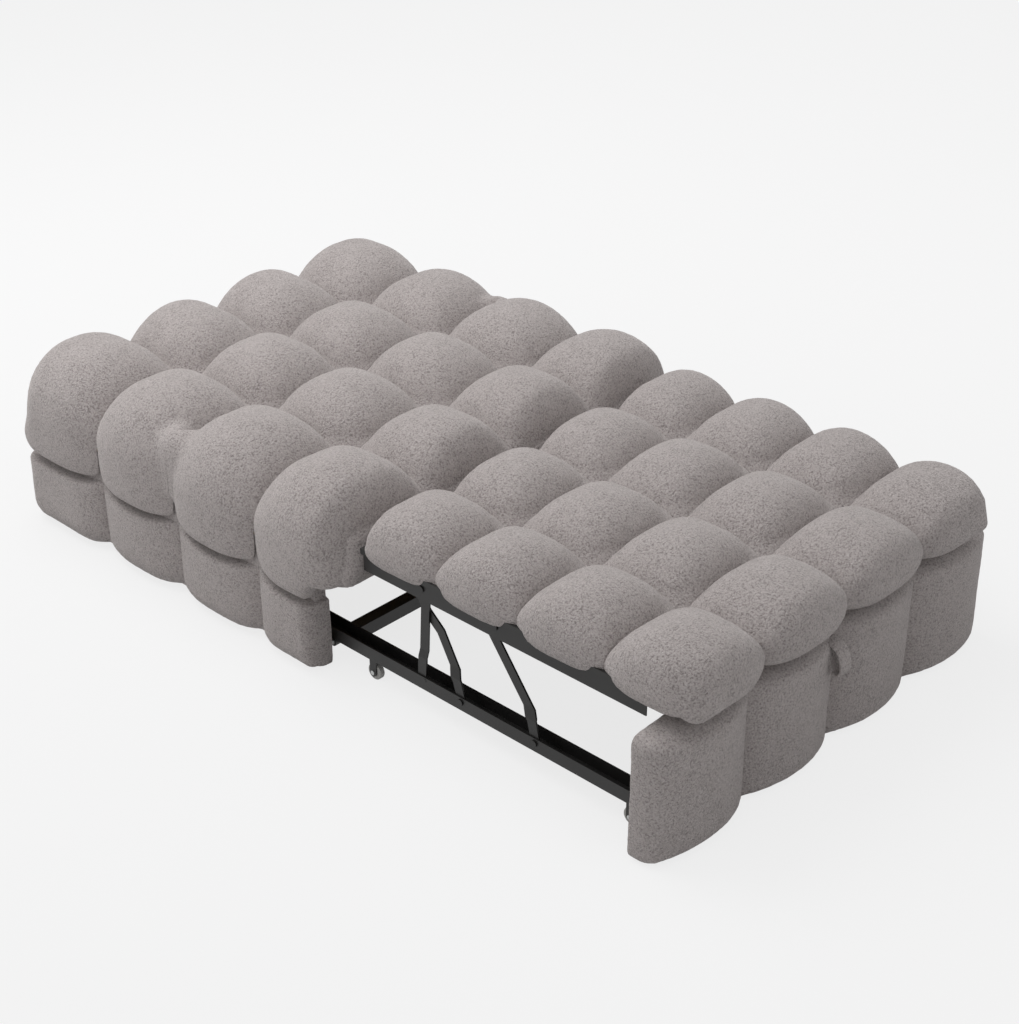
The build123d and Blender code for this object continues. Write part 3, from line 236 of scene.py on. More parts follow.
class Stuffed:
    """A stuffed box: a rounded core, seams that pinch it and bubbles that swell between them.

    low and high are the core's corners. top and foot are the core's roundings above and
    below the two levels in turn, each along X, at Y's low end, at Y's high end and along Z.
    swell_low and swell_high say how far the bubbles stand out on the low and the high side
    of each axis. seams holds the seams' places along each axis, and half how far the
    outer bubbles' crowns are from the last seam.
    """

    def __init__(self, low, high, top, foot, turn, swell_low, swell_high, seams, half):
        self.low, self.high = np.array(low), np.array(high)
        self.top, self.foot, self.turn = np.array(top), np.array(foot), turn
        self.swell = np.array(swell_low), np.array(swell_high)
        self.seams, self.half = seams, half

    def grid(self, spacing):
        """Points on the six sides of the sharp box, with the quads between them."""
        lines = [seam_lines(self.low[a], self.high[a], self.seams[a], spacing) for a in range(3)]
        points, quads = [], []
        start = 0
        for axis in range(3):
            u, v = (axis + 1) % 3, (axis + 2) % 3
            for side in (0, 1):
                across, along = np.meshgrid(lines[u], lines[v], indexing="ij")
                face = np.empty((across.size, 3))
                face[:, axis] = (self.low, self.high)[side][axis]
                face[:, u], face[:, v] = across.ravel(), along.ravel()
                index = start + np.arange(across.size).reshape(across.shape)
                ring = (index[:-1, :-1], index[1:, :-1], index[1:, 1:], index[:-1, 1:])
                quad = np.stack([part.ravel() for part in ring], axis=1)
                quads.append(quad if side else quad[:, ::-1])
                points.append(face)
                start += across.size
        points, quads = np.concatenate(points), np.concatenate(quads)
        # Neighbouring sides share the points on their edge
        _, first, match = np.unique(
            np.round(points, 7), axis=0, return_index=True, return_inverse=True
        )
        return points[first], match.ravel()[quads]

    def fullness(self, points, bubble):
        """Share of the swell: 1 on a crown, 0 on a seam and below 0 where seams cross."""
        power = bubble.plan_power
        shares = [seam_share(points[:, a], self.seams[a], self.half[a]) for a in range(3)]
        reach = sum(share**power for share in shares) ** (1 / power)
        rim = math.sqrt(1 - 1 / bubble.dome**2)
        ball = np.sqrt(1 - (np.minimum(reach, 1) / bubble.dome) ** 2)
        full = np.where(reach < 1, (ball - rim) / (1 - rim), -bubble.pit * (reach - 1))
        # One draw for each bubble; no piece has more than nine along an axis
        chance = np.random.RandomState(bubble.seed).uniform(-1, 1, (9, 9, 9))
        cells = [cell(points[:, a], self.seams[a]) for a in range(3)]
        return full * (1 + bubble.unevenness * chance[cells[0], cells[1], cells[2]])

    def roundings(self, points):
        """Roundings towards the low and the high side of each axis, at each point."""
        level = smooth_step(points[:, 2], *self.turn)[:, None]
        along = self.foot[:3] + (self.top[:3] - self.foot[:3]) * level
        ones = np.ones(len(points))
        low = np.stack([along[:, 0], along[:, 1], self.foot[3] * ones], axis=1)
        high = np.stack([along[:, 0], along[:, 2], self.top[3] * ones], axis=1)
        return low, high

    def surface(self, bubble):
        """Points and quads of the stuffed surface."""
        points, quads = self.grid(bubble.mesh_size)
        low, high = self.roundings(points)
        inner = np.clip(points, self.low + low, self.high - high)
        out = points - inner
        radii = np.where(out < 0, low, high)
        turn = out / radii
        turn /= np.linalg.norm(turn, axis=1)[:, None]
        normal = turn / radii
        normal /= np.linalg.norm(normal, axis=1)[:, None]
        swell = np.where(normal < 0, self.swell[0], self.swell[1])
        full = self.fullness(points, bubble)
        return inner + radii * turn + normal * swell * full[:, None], quads


def mesh_object(name, points, faces):
    """A new object with this mesh, in the scene."""
    mesh = bpy.data.meshes.new(name)
    mesh.from_pydata([tuple(p) for p in points], [], [tuple(map(int, f)) for f in faces])
    mesh.update()
    piece = bpy.data.objects.new(name, mesh)
    bpy.context.scene.collection.objects.link(piece)
    return piece


def face_outwards(piece):
    """Turns a closed mesh's faces outwards."""
    work = bmesh.new()
    work.from_mesh(piece.data)
    bmesh.ops.recalc_face_normals(work, faces=work.faces)
    work.to_mesh(piece.data)
    work.free()
    piece.data.update()


def box_object(name, low, high):
    """A new object with a plain box."""
    corners = [
        (x, y, z)
        for x in (low[0], high[0])
        for y in (low[1], high[1])
        for z in (low[2], high[2])
    ]
    faces = [(0, 1, 3, 2), (4, 6, 7, 5), (0, 4, 5, 1), (2, 3, 7, 6), (0, 2, 6, 4), (1, 5, 7, 3)]
    return mesh_object(name, corners, faces)


def plain_mesh(piece):
    """Turns a piece with modifiers into a plain mesh."""
    evaluated = piece.evaluated_get(bpy.context.evaluated_depsgraph_get())
    mesh = bpy.data.meshes.new_from_object(evaluated)
    old = piece.data
    piece.modifiers.clear()
    piece.data = mesh
    bpy.data.meshes.remove(old)
    mesh.name = piece.name


def change_by(piece, tool, operation):
    """Cuts a piece by a closed tool and removes the tool.

    DIFFERENCE takes the tool's volume away, and INTERSECT keeps what is in it.
    """
    change = piece.modifiers.new("cut", "BOOLEAN")
    change.operation, change.solver, change.object = operation, "MANIFOLD", tool
    plain_mesh(piece)
    bpy.data.objects.remove(tool)
    if not piece.data.polygons:
        raise RuntimeError(f"cutting left nothing of {piece.name}")


def cut(piece, operation, low, high):
    """Cuts a piece by a box, as change_by does."""
    change_by(piece, box_object("cutter", low, high), operation)


def cut_prism(piece, outline, low, high):
    """Takes a prism along X away from a piece; outline is its side view."""
    count = len(outline)
    corners = [(x, y, z) for x in (low, high) for y, z in outline]
    sides = [(k, (k + 1) % count, count + (k + 1) % count, count + k) for k in range(count)]
    tool = mesh_object("cutter", corners, [*sides, range(count), range(count, 2 * count)])
    face_outwards(tool)
    change_by(piece, tool, "DIFFERENCE")


def copy_of(piece, name):
    """A second object with its own copy of the mesh."""
    other = piece.copy()
    other.data = piece.data.copy()
    other.name = other.data.name = name
    bpy.context.scene.collection.objects.link(other)
    return other


def maths(tree, operation, first, second):
    """One sum on two values or sockets."""
    return put(tree, "ShaderNodeMath", {0: first, 1: second}, operation=operation).outputs[0]


def pile_tree():
    """Geometry nodes that raise the pile's clumps and press soft dents into a cover."""
    tree = bpy.data.node_groups.new("Pile clumps", "GeometryNodeTree")
    face = tree.interface
    face.new_socket("Geometry", in_out="INPUT", socket_type="NodeSocketGeometry")
    for name in ("Lump size", "Lump height", "Sag size", "Sag height"):
        face.new_socket(name, in_out="INPUT", socket_type="NodeSocketFloat")
    face.new_socket("Material", in_out="INPUT", socket_type="NodeSocketMaterial")
    face.new_socket("Geometry", in_out="OUTPUT", socket_type="NodeSocketGeometry")
    given = put(tree, "NodeGroupInput").outputs
    place = put(tree, "GeometryNodeInputPosition").outputs[0]
    layers = []
    for size, rise in (("Lump size", "Lump height"), ("Sag size", "Sag height")):
        scale = maths(tree, "DIVIDE", 1.0, given[size])
        spots = put(
            tree, "ShaderNodeTexNoise", {"Vector": place, "Scale": scale, "Detail": 1.0}
        ).outputs["Fac"]
        # Spots lie about one half, so twice the way from there is one height up or down
        layer = maths(tree, "MULTIPLY", maths(tree, "SUBTRACT", spots, 0.5), given[rise])
        layers.append(maths(tree, "MULTIPLY", layer, 2.0))
    height = maths(tree, "ADD", *layers)
    normal = put(tree, "GeometryNodeInputNormal").outputs[0]
    offset = put(tree, "ShaderNodeVectorMath", {0: normal, "Scale": height}, operation="SCALE")
    moved = put(
        tree, "GeometryNodeSetPosition",
        {"Geometry": given["Geometry"], "Offset": offset.outputs[0]},
    )
    real = put(tree, "GeometryNodeRealizeInstances", {"Geometry": moved.outputs[0]})
    done = put(
        tree, "GeometryNodeSetMaterial",
        {"Geometry": real.outputs[0], "Material": given["Material"]},
    )
    put(tree, "NodeGroupOutput", {"Geometry": done.outputs[0]})
    return tree


def set_inputs(modifier, values):
    """Sets a geometry nodes modifier's inputs by their names."""
    for item in modifier.node_group.interface.items_tree:
        if item.item_type == "SOCKET" and item.in_out == "INPUT" and item.name in values:
            modifier[item.identifier] = values[item.name]


def cover(piece):
    """Gives a stuffed piece its pile: clumps in the mesh, crisp seams and the pile's finish."""
    settings = bpy.context.scene.cover_settings
    change = piece.modifiers.new("pile", "NODES")
    change.node_group = bpy.data.node_groups.get("Pile clumps") or pile_tree()
    values = {
        "Lump size": settings.lump,
        "Lump height": settings.lump_height,
        "Sag size": settings.sag,
        "Sag height": settings.sag_height,
        "Material": looped_pile(),
    }
    set_inputs(change, values)
    plain_mesh(piece)
    piece.data.shade_smooth()
    piece.data.set_sharp_from_angle(angle=settings.seam_angle)


def material(name):
    """A new material with an empty node tree, and that tree."""
    made = bpy.data.materials.new(name)
    made.use_nodes = True
    made.node_tree.nodes.clear()
    return made, made.node_tree


def object_place(tree):
    """The point that is shaded, in the piece's own metres."""
    return put(tree, "ShaderNodeTexCoord").outputs["Object"]


def noise(tree, place, size, detail, more=None):
    """Noise with spots about this wide."""
    inputs = {"Vector": place, "Scale": 1 / size, "Detail": detail, **(more or {})}
    return put(tree, "ShaderNodeTexNoise", inputs).outputs["Fac"]


def stretched(tree, place, sizes):
    """Place for a noise of size 1 whose spots are this long on each axis."""
    scale = [1 / size for size in sizes]
    return put(tree, "ShaderNodeMapping", {"Vector": place, "Scale": scale}).outputs[0]


def colour_between(tree, share, deep, pale):
    """Colour between two sRGB hex colours."""
    ends = {"Factor": share, "A": rgba(linear(deep)), "B": rgba(linear(pale))}
    return put(tree, "ShaderNodeMix", ends, data_type="RGBA").outputs["Result"]


def gloss_between(tree, share, low, high):
    """Roughness between two values."""
    ends = {"Value": share, "To Min": low, "To Max": high}
    return put(tree, "ShaderNodeMapRange", ends).outputs[0]


def relief(tree, height, strength, distance):
    """Normal of a fine relief."""
    inputs = {"Height": height, "Strength": strength, "Distance": distance}
    return put(tree, "ShaderNodeBump", inputs).outputs["Normal"]


def finish(tree, colour, roughness, normal, more=None):
    """Links a principled shader to the material's output."""
    inputs = {"Base Color": colour, "Roughness": roughness, "Normal": normal, **(more or {})}
    shader = put(tree, "ShaderNodeBsdfPrincipled", inputs)
    put(tree, "ShaderNodeOutputMaterial", {"Surface": shader.outputs[0]})


def looped_pile():
    """Boucle: short looped yarn of mixed greys, knitted and brushed up into curls, so it is matt,
    mottled at the size of a curl and a little brighter along its edges. Painted shade darkens it
    between one loop and the next, and painted light makes the curls' tips paler."""
    name = "Looped pile boucle"
    if name in bpy.data.materials:
        return bpy.data.materials[name]
    settings = bpy.context.scene.cover_settings
    made, tree = material(name)
    place = object_place(tree)
    curls = noise(tree, place, settings.curl, 3.0, {"Roughness": 0.65, "Distortion": 0.8})
    # Distance from each loop's middle, which darkens the cover as painted shade between the curls
    painted_loop_shade = put(
        tree, "ShaderNodeTexVoronoi",
        {"Vector": place, "Scale": 1 / settings.curl, "Smoothness": 0.6},
        feature="SMOOTH_F1",
    ).outputs["Distance"]
    mottling = noise(tree, place, 35 * MM, 2.0)
    # Painted shade darkens the valleys between one loop and the next, and painted light makes the
    # curls' tips pale, over the yarn's own mottled greys
    tone = maths(tree, "ADD", curls, maths(tree, "MULTIPLY", painted_loop_shade, -0.35))
    tone = maths(tree, "ADD", tone, maths(tree, "MULTIPLY", mottling, 0.12))
    ramp = put(tree, "ShaderNodeValToRGB", {"Fac": tone})
    stops = ramp.color_ramp.elements
    # The ramp's dark end is painted shade between the curls and its pale end painted light on their
    # tips
    stops[0].position, stops[0].color = 0.20, rgba(settings.dark)
    stops[1].position, stops[1].color = 0.68, rgba(settings.light)
    stops.new(0.40).color = rgba(settings.middle)
    finish(
        tree, ramp.outputs["Color"], 0.95, relief(tree, tone, 1.0, settings.curl_height),
        {
            "Specular IOR Level": 0.2, "Sheen Weight": 0.70, "Sheen Roughness": 0.38,
            "Sheen Tint": rgba(linear("e9e4e1")),
        },
    )
    return made


def powder_coat():
    """Powder-coated steel: black paint, sprayed on dry and baked, so it is even, half matt
    and faintly dimpled, and hands and rollers have rubbed it glossier in places."""
    made, tree = material("Black powder coat")
    place = object_place(tree)
    dimples = noise(tree, place, 1.6 * MM, 2.0)
    rubbing = noise(tree, place, 60 * MM, 3.0)
    finish(
        tree, colour_between(tree, rubbing, "100f0e", "1b1918"),
        gloss_between(tree, rubbing, 0.36, 0.55), relief(tree, dimples, 0.12, 0.2 * MM),
    )
    return made


def zinc_plate():
    """Zinc-plated steel: turned and stamped parts in a thin plating, so they are bright, with
    cloudy spots and a fine grain."""
    made, tree = material("Zinc-plated steel")
    place = object_place(tree)
    grain = noise(tree, place, 0.8 * MM, 3.0)      # drawn coarser than the real 0.1 mm
    clouds = noise(tree, place, 9 * MM, 2.0)
    finish(
        tree, colour_between(tree, clouds, "a9abac", "c6c7c5"),
        gloss_between(tree, clouds, 0.24, 0.42), relief(tree, grain, 0.15, 0.1 * MM),
        {"Metallic": 1.0},
    )
    return made


def plywood():
    """Birch plywood: peeled veneers, glued, sanded and left bare, so it is pale and matt, with
    long soft figure and fibres along the bed."""
    made, tree = material("Sanded birch plywood")
    place = object_place(tree)
    figure_place = stretched(tree, place, (12 * MM, 160 * MM, 12 * MM))
    figure = noise(tree, figure_place, 1.0, 5.0, {"Distortion": 0.6})
    fibres = noise(tree, stretched(tree, place, (0.9 * MM, 22 * MM, 0.9 * MM)), 1.0, 2.0)
    finish(
        tree, colour_between(tree, figure, "b99a6e", "d8bf96"), 0.62,
        relief(tree, fibres, 0.25, 0.2 * MM),
    )
    return made


def even_finish(name, deep, pale, rough):
    """Moulded plastic or the resin film pressed on a board: coloured right through, so it is
    one even colour with faint scuffs, and its mould or press leaves a fine matt texture."""
    made, tree = material(name)
    place = object_place(tree)
    texture = noise(tree, place, 1.2 * MM, 2.0)    # drawn coarser than the real 0.2 mm
    scuffs = noise(tree, place, 14 * MM, 3.0)
    finish(
        tree, colour_between(tree, scuffs, deep, pale), rough,
        relief(tree, texture, 0.2, 0.15 * MM),
    )
    return made


def seen_share(tree):
    """1 for camera, glossy and transmission rays, and 0 for the rest."""
    path = put(tree, "ShaderNodeLightPath").outputs
    share = maths(tree, "MAXIMUM", path["Is Camera Ray"], path["Is Glossy Ray"])
    return maths(tree, "MAXIMUM", share, path["Is Transmission Ray"])


def backdrop_paper(settings):
    """Seamless paper: matt and pale, so it bounces light evenly. Where it is seen it shows
    its own colour, darkened only by the bed's shadow."""
    made, tree = material("Seamless backdrop paper")
    bounce = put(tree, "ShaderNodeBsdfDiffuse", {"Color": (0.62, 0.62, 0.62, 1), "Roughness": 1.0})
    # Glow and lamplit grey add up to the backdrop's colour, and a shadow takes the grey away
    shade = put(tree, "ShaderNodeBsdfDiffuse", {"Color": (0.17, 0.17, 0.17, 1), "Roughness": 1.0})
    glow = put(tree, "ShaderNodeEmission", {"Color": rgba(settings.backdrop), "Strength": 0.86})
    shown = put(tree, "ShaderNodeAddShader", {0: shade.outputs[0], 1: glow.outputs[0]})
    surface = put(
        tree, "ShaderNodeMixShader",
        {"Fac": seen_share(tree), 1: bounce.outputs[0], 2: shown.outputs[0]},
    )
    put(tree, "ShaderNodeOutputMaterial", {"Surface": surface.outputs[0]})
    return made


# Places shared by the pieces
SPLIT = -120.5 * MM              # seat to pull-out cushion, along the bed
FOLD = 407.5 * MM                # seat to backrest, along the bed
GAP = 0.3 * MM                   # soft piece to its neighbour
DECK_TOP = 261.0 * MM
MAIN_CREASE = 157.0 * MM         # under the outer bubbles of the seat and the backrest
PULL_CREASE = 0.272              # under the outer bubbles of the pull-out
PADDING_FOOT = 0.004             # of the base and of the front panel
SKIRT_INNER = 510.3 * MM         # inside the skirts, beside the hinge leaves
SKIRT_FRONT = -0.0348            # inside the skirts, at the front of the base
HINGE_INNER = 0.4997             # inside the hinges' leaves
HINGE_OUTER = 509.0 * MM         # outside the hinges' pins
MAIN_PITCH_X, MAIN_PITCH_Y = 254 * MM, 264 * MM
PULL_PITCH_X, PULL_PITCH_Y = 250 * MM, 207 * MM
PANEL_PITCH = 262.5 * MM
FAR = 2.0                        # beyond everything, for cutting boxes

# Room for the solids that the soft pieces stand on or round: low and high corners
BASE_ROOM = (-SKIRT_INNER, SKIRT_FRONT, -FAR), (SKIRT_INNER, 0.9228, DECK_TOP + GAP)
DECK_FRONT_ROOM = (-0.5003, -0.0908, 0.2457), (0.5003, 0, DECK_TOP + GAP)
BAY_ROOM = (-SKIRT_INNER, -FAR, -FAR), (SKIRT_INNER, SKIRT_FRONT + GAP, 0.215)
BOARDS_ROOM = (-0.5003, -0.0208, -FAR), (0.5003, 0.9128, FAR)
BOARDS_FRONT_ROOM = (-0.474, -FAR, -FAR), (0.474, 0, FAR)
PLATFORM_ROOM = (-0.4723, -0.8378, -FAR), (0.4723, 0, 0.3163)
PANEL_BOARD_ROOM = (-0.5053, -0.8728, 0.0457), (0.5053, -0.8542, 0.2353)
BRACKET_ROOM = (0.4217, -0.8600, 0.0547), (0.4593, 0, 0.1253)
HINGE_ROOM = (                   # side view, from the fold
    (-0.056, 0.245), (0.056, 0.245), (0.056, 0.263), (0.0145, 0.358),
    (0.008, 0.3675), (-0.008, 0.3675), (-0.0145, 0.358), (-0.056, 0.263),
)


def repeats(start, pitch, count):
    """Places that follow each other at one pitch."""
    return [start + pitch * step for step in range(count)]


def both_sides(low, high):
    """X range on the right and its mirror image on the left."""
    return [(low, high), (-high, -low)]


def cover_hinges(points):
    """Fills out the crease over each end of the fold, where a hinge stands between two bubbles."""
    side, top, power = 0.5210, 0.3870, 6           # the filling's extents and squareness
    centre_x, centre_z = 0.402, 0.240              # line along the bed that it swells from
    whole, none = 0.008, 0.070                     # ways from the fold
    beside = 1 - smooth_step(np.abs(points[:, 1] - FOLD), whole, none)
    across, up = np.abs(points[:, 0]), points[:, 2]
    # The filling fades in on the way out and on the way up
    outer = smooth_step(across, 0.425, 0.460) * smooth_step(up, 0.230, 0.250)
    run, rise = np.maximum(across - centre_x, 1e-6), np.maximum(up - centre_z, 1e-6)
    reach = ((run / (side - centre_x)) ** power + (rise / (top - centre_z)) ** power) ** (1 / power)
    weight = beside * outer * np.maximum(1 / reach - 1, 0)
    points[:, 0] += np.sign(points[:, 0]) * run * weight
    points[:, 2] += rise * weight


def draw_foot(points, share, level, factor):
    """Draws what hangs below a level towards it, or away where factor is below 0."""
    points[:, 2] -= np.minimum(points[:, 2] - level, 0) * share * factor


class SOFA_OT_main_cushions(bpy.types.Operator):
    """Seat and backrest cushions, which share one grid of bubbles"""

    bl_idname = "sofa.main_cushions"
    bl_label = "Seat and backrest cushions"

    def execute(self, context):
        bubble = context.scene.bubble_settings
        body = Stuffed(
            low=(-0.509, SPLIT, MAIN_CREASE),
            high=(0.509, 0.9255, 0.354),
            top=(0.100, 0.070, 0.080, 0.078),
            foot=(0.034, 0.055, 0.060, 0.080),
            turn=(0.215, 0.300),
            swell_low=(0.038, 0.0, 0.040),
            swell_high=(0.038, 0.032, 0.080),
            seams=(
                repeats(-MAIN_PITCH_X, MAIN_PITCH_X, 3),
                repeats(SPLIT, MAIN_PITCH_Y, 4),
                [MAIN_CREASE],
            ),
            half=(0.135, MAIN_PITCH_Y / 2, 0.052),
        )
        points, quads = body.surface(bubble)
        # The front row ends higher than the skirts, over the bay that the pull-out slides in
        front = 1 - smooth_step(points[:, 1], -0.050, -0.022)
        draw_foot(points, front, level=0.300, factor=0.30)
        cover_hinges(points)
        whole = mesh_object("main", points, quads)
        for room in (BASE_ROOM, DECK_FRONT_ROOM, BAY_ROOM):
            cut(whole, "DIFFERENCE", *room)
        outline = [(FOLD + along, up) for along, up in HINGE_ROOM]
        for low, high in both_sides(HINGE_INNER, HINGE_OUTER):
            cut_prism(whole, outline, low, high)
        for name, node, ends in (
            ("Sitting_cushion", "seat_cushion", (-FAR, FOLD - GAP)),
            ("Backrest_cushion", "backrest_cushion", (FOLD + GAP, FAR)),
        ):
            piece = copy_of(whole, name)
            cut(piece, "INTERSECT", (-FAR, ends[0], -FAR), (FAR, ends[1], FAR))
            cover(piece)
            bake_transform(piece)
            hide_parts(node)
        bpy.data.objects.remove(whole)
        return {"FINISHED"}


class SOFA_OT_pullout_cushion(bpy.types.Operator):
    """Cushion on the pull-out platform, with big bubbles over its front panel"""

    bl_idname = "sofa.pullout_cushion"
    bl_label = "Pull-out cushion"

    def execute(self, context):
        bubble = context.scene.bubble_settings
        body = Stuffed(
            low=(-0.463, -0.925, PULL_CREASE),
            high=(0.463, SPLIT - GAP, 0.353),
            top=(0.068, 0.078, 0.045, 0.028),
            foot=(0.022, 0.058, 0.022, 0.053),
            turn=(0.295, 0.350),
            swell_low=(0.021, 0.034, 0.010),
            swell_high=(0.021, 0.0, 0.060),
            seams=(
                repeats(-PULL_PITCH_X, PULL_PITCH_X, 3),
                [*repeats(SPLIT - 3 * PULL_PITCH_Y, PULL_PITCH_Y, 3), SPLIT - GAP],
                [PULL_CREASE],
            ),
            half=(0.115, 0.105, 0.050),
        )
        points, quads = body.surface(bubble)
        # The front row hangs down over the panel
        front = 1 - smooth_step(points[:, 1], -0.945, -0.900)
        draw_foot(points, front, level=0.350, factor=-0.14)
        piece = mesh_object("Pullout_cushion", points, quads)
        cut(piece, "DIFFERENCE", *PLATFORM_ROOM)
        cover(piece)
        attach(piece, "platform")
        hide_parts("pullout_cushion")
        return {"FINISHED"}


class SOFA_OT_base_padding(bpy.types.Operator):
    """Channelled padding round the base, over the cover of its boards"""

    bl_idname = "sofa.base_padding"
    bl_label = "Base padding"

    def execute(self, context):
        bubble = context.scene.bubble_settings
        body = Stuffed(
            low=(-0.5045, -0.0345, PADDING_FOOT),
            high=(0.5045, 0.9165, 0.186),
            top=(0.024, 0.026, 0.024, 0.028),
            foot=(0.020, 0.024, 0.020, 0.024),
            turn=(0.080, 0.130),
            swell_low=(0.032, 0.0, 0.030),
            swell_high=(0.032, 0.028, -0.020),
            seams=(
                repeats(-MAIN_PITCH_X, MAIN_PITCH_X, 3),
                repeats(SPLIT + MAIN_PITCH_Y, MAIN_PITCH_Y, 3),
                [PADDING_FOOT],
            ),
            half=(0.135, 0.089, 0.050),
        )
        piece = mesh_object("Base_padding", *body.surface(bubble))
        for room in (BOARDS_ROOM, BOARDS_FRONT_ROOM):
            cut(piece, "DIFFERENCE", *room)
        cover(piece)
        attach(piece, "base")
        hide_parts("base_side_padding_left", "base_side_padding_right", "base_back_padding")

        cloth = box_object(
            "Base_board_cover", (-0.5035, -0.0245, 0.0215), (0.5035, 0.9155, 0.2455)
        )
        for room in (BOARDS_ROOM, BOARDS_FRONT_ROOM):
            cut(cloth, "DIFFERENCE", *room)
        bevel = cloth.modifiers.new("edges", "BEVEL")
        bevel.width, bevel.segments = 1.2 * MM, 2
        plain_mesh(cloth)
        cloth.data.materials.clear()
        cloth.data.materials.append(looped_pile())
        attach(cloth, "base")
        return {"FINISHED"}


class SOFA_OT_front_panel(bpy.types.Operator):
    """Channelled padding of the pull-out's front panel"""

    bl_idname = "sofa.front_panel"
    bl_label = "Front panel"

    def execute(self, context):
        bubble = context.scene.bubble_settings
        body = Stuffed(
            low=(-0.525, -0.9045, PADDING_FOOT),
            high=(0.525, -0.8515, 0.262),
            top=(0.014, 0.034, 0.008, 0.024),
            foot=(0.014, 0.026, 0.008, 0.016),
            turn=(0.100, 0.160),
            swell_low=(0.0, 0.036, 0.0),
            swell_high=(0.0, 0.0, 0.006),
            seams=(repeats(-2 * PANEL_PITCH, PANEL_PITCH, 5), [], []),
            half=(0.130, 0.1, 0.1),                # the last two are unused without seams
        )
        piece = mesh_object("Front_panel_padding", *body.surface(bubble))
        cut(piece, "DIFFERENCE", *PANEL_BOARD_ROOM)
        (inner, *low), (outer, *high) = BRACKET_ROOM
        for start, end in both_sides(inner, outer):
            cut(piece, "DIFFERENCE", (start, *low), (end, *high))
        cover(piece)
        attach(piece, "pullout_frame")
        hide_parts("front_panel_padding")
        return {"FINISHED"}


class SOFA_OT_pull_strap(bpy.types.Operator):
    """Loop of the cover's cloth on the front panel, to pull the bed out by"""

    bl_idname = "sofa.pull_strap"
    bl_label = "Pull strap"

    def execute(self, context):
        left, right = (corner[0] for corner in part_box("pull_strap"))
        thickness, edge = 5.5 * MM, 2.5 * MM
        crisp_angle = math.radians(40)
        # Middle line in side view: out of the panel's top seam, round and back
        line = [
            (-0.9060, 0.2490), (-0.9200, 0.2480), (-0.9330, 0.2440), (-0.9430, 0.2360),
            (-0.9495, 0.2250), (-0.9530, 0.2120), (-0.9535, 0.1990), (-0.9500, 0.1905),
            (-0.9430, 0.1870), (-0.9360, 0.1890), (-0.9310, 0.1960), (-0.9280, 0.2070),
            (-0.9240, 0.2180), (-0.9160, 0.2270), (-0.9060, 0.2320),
        ]
        # Section: places along X, and how far from the middle line in thicknesses
        section = [
            (left, -0.2), (left + edge, -0.5), (right - edge, -0.5), (right, -0.2),
            (right, 0.2), (right - edge, 0.5), (left + edge, 0.5), (left, 0.2),
        ]
        tangents = np.gradient(np.array(line), axis=0)
        normals = np.stack([-tangents[:, 1], tangents[:, 0]], axis=1)
        normals /= np.linalg.norm(normals, axis=1)[:, None]
        points = [
            (x, y + share * thickness * ny, z + share * thickness * nz)
            for (y, z), (ny, nz) in zip(line, normals)
            for x, share in section
        ]
        ring = len(section)
        faces = [
            (a + b, a + (b + 1) % ring, a + ring + (b + 1) % ring, a + ring + b)
            for a in range(0, (len(line) - 1) * ring, ring)
            for b in range(ring)
        ]
        faces.append(tuple(reversed(range(ring))))
        faces.append(tuple(range((len(line) - 1) * ring, len(line) * ring)))
        piece = mesh_object("Pull_strap_webbing", points, faces)
        face_outwards(piece)
        piece.data.materials.append(looped_pile())
        piece.data.shade_smooth()
        piece.data.set_sharp_from_angle(angle=crisp_angle)
        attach(piece, "pullout_frame")
        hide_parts("pull_strap")
        return {"FINISHED"}


class SOFA_OT_finishes(bpy.types.Operator):
    """Paint, plating, timber and plastic on the parts that keep their own shape"""

    bl_idname = "sofa.finishes"
    bl_label = "Frame finishes"

    def execute(self, context):
        finishes = {
            "black_steel": powder_coat(),
            "plain_steel": zinc_plate(),
            "timber": plywood(),
            "black_board": even_finish("Black film-faced plywood", "151413", "201f1d", 0.5),
            "grey_plastic": even_finish("Moulded grey nylon", "a5a4a1", "b7b6b2", 0.5),
            "black_plastic": even_finish("Moulded black polypropylene", "161616", "232322", 0.55),
        }
        slots = {row["node"]: row["material_slot"] for row in frame["record"]["subparts"]}
        for node, piece in frame["nodes"].items():
            if slots.get(node) not in finishes:
                continue
            if not piece.material_slots:
                piece.data.materials.append(None)
            for place in piece.material_slots:
                place.material = finishes[slots[node]]
        return {"FINISHED"}


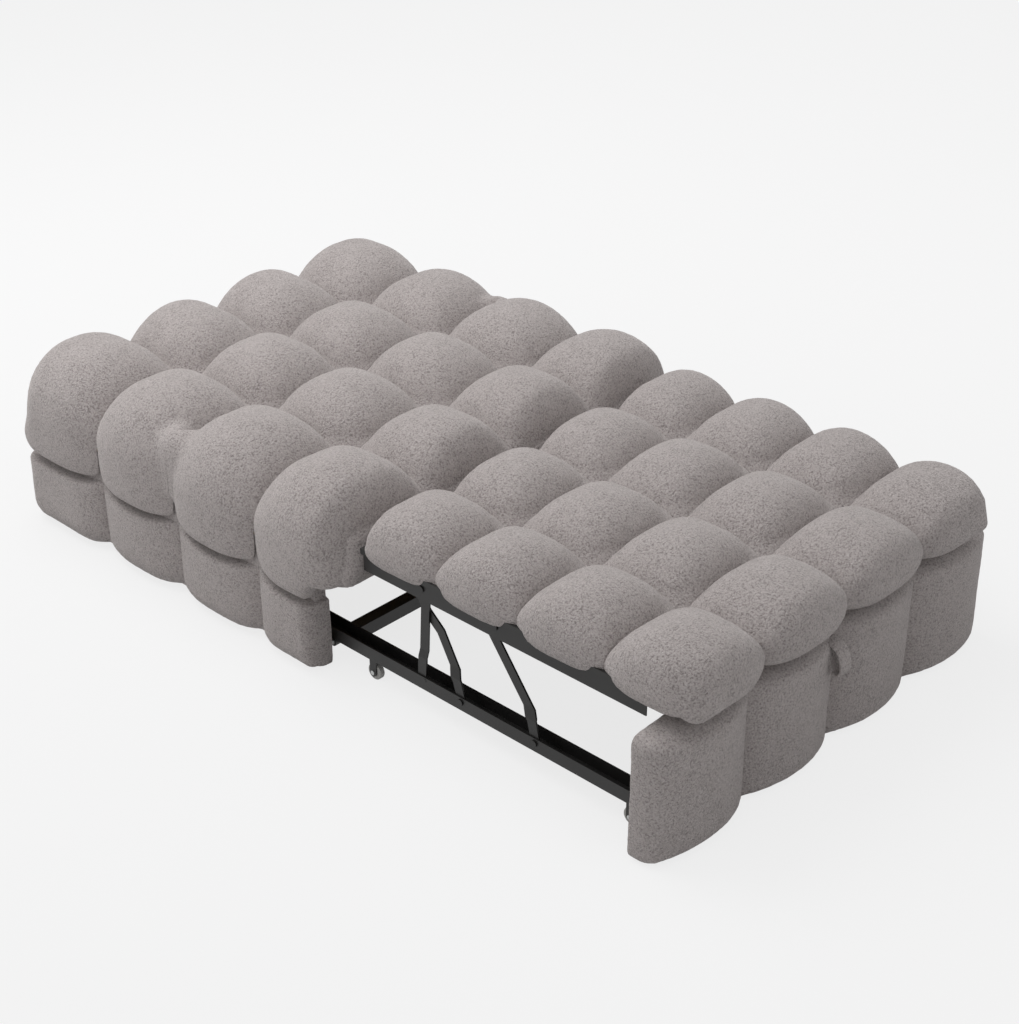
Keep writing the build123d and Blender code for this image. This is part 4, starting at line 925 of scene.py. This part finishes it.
class SOFA_OT_stage(bpy.types.Operator):
    """Camera at the photographed angle, soft studio lamps and a pale backdrop"""

    bl_idname = "sofa.stage"
    bl_label = "Camera, lamps and backdrop"

    def execute(self, context):
        settings = context.scene.stage_settings
        lens = bpy.data.cameras.new("Camera")
        lens.sensor_width, lens.lens = 36.0, settings.lens
        lens.clip_start, lens.clip_end = 0.05, 60
        camera = bpy.data.objects.new("Camera", lens)
        # Fitted to the photographed tufts and outline
        camera.location = (-2.5295, -2.4775, 2.1438)
        camera.rotation_euler = [math.radians(turn) for turn in (60.63, 0.18, -46.62)]
        context.scene.collection.objects.link(camera)
        context.scene.camera = camera
        for name, size, power, place, target in (
            ("Key", 3.2, settings.key, (-0.6, 1.6, 3.4), (0, 0, 0.3)),
            ("Fill", 3.0, settings.fill, (-4.0, 0.6, 2.0), (0, 0, 0.2)),
        ):
            light = bpy.data.lights.new(name, "AREA")
            light.shape, light.size, light.energy = "DISK", size, power
            lamp = bpy.data.objects.new(name, light)
            lamp.location = place
            aim = [b - a for a, b in zip(place, target)]
            lamp.rotation_euler = Vector(aim).to_track_quat("-Z", "Y").to_euler()
            context.scene.collection.objects.link(lamp)

        world = bpy.data.worlds.new("Studio")
        world.use_nodes = True
        tree = world.node_tree
        tree.nodes.clear()
        sky = (settings.sky, settings.sky, settings.sky * 1.01, 1)      # a trace of blue
        colour = put(
            tree, "ShaderNodeMix",
            {"Factor": seen_share(tree), "A": sky, "B": rgba(settings.backdrop)},
            data_type="RGBA",
        )
        back = put(
            tree, "ShaderNodeBackground", {"Color": colour.outputs["Result"], "Strength": 1.0}
        )
        put(tree, "ShaderNodeOutputWorld", {"Surface": back.outputs[0]})
        context.scene.world = world

        reach = 14.0                 # the floor ends far outside the view
        corners = [(-reach, -reach, 0), (reach, -reach, 0), (reach, reach, 0), (-reach, reach, 0)]
        floor = mesh_object("Floor", corners, [(0, 1, 2, 3)])
        floor.data.materials.append(backdrop_paper(settings))
        context.scene.view_settings.view_transform = "Standard"
        return {"FINISHED"}


STEPS = (
    SOFA_OT_main_cushions,
    SOFA_OT_pullout_cushion,
    SOFA_OT_base_padding,
    SOFA_OT_front_panel,
    SOFA_OT_pull_strap,
    SOFA_OT_finishes,
    SOFA_OT_stage,
)
SETTINGS = {
    "cover_settings": CoverSettings,
    "bubble_settings": BubbleSettings,
    "stage_settings": StageSettings,
}


class SOFA_PT_panel(bpy.types.Panel):
    """Steps that build the sofa bed"""

    bl_label = "Sofa Bed"
    bl_idname = "SOFA_PT_panel"
    bl_space_type = "VIEW_3D"
    bl_region_type = "UI"
    bl_category = "Sofa Bed"

    def draw(self, context):
        for step in STEPS:
            self.layout.operator(step.bl_idname)
        for name in SETTINGS:
            settings = getattr(context.scene, name)
            box = self.layout.box()
            for value in settings.__annotations__:
                box.prop(settings, value)


CLASSES = (*SETTINGS.values(), *STEPS, SOFA_PT_panel)


def register():
    for item in CLASSES:
        bpy.utils.register_class(item)
    for name, group in SETTINGS.items():
        setattr(bpy.types.Scene, name, PointerProperty(type=group))


def unregister():
    for name in SETTINGS:
        delattr(bpy.types.Scene, name)
    for item in reversed(CLASSES):
        bpy.utils.unregister_class(item)


def main():
    register()
    bpy.ops.sofa.main_cushions()
    bpy.ops.sofa.pullout_cushion()
    bpy.ops.sofa.base_padding()
    bpy.ops.sofa.front_panel()
    bpy.ops.sofa.pull_strap()
    bpy.ops.sofa.finishes()
    bpy.ops.sofa.stage()


if __name__ == "__main__":
    main()
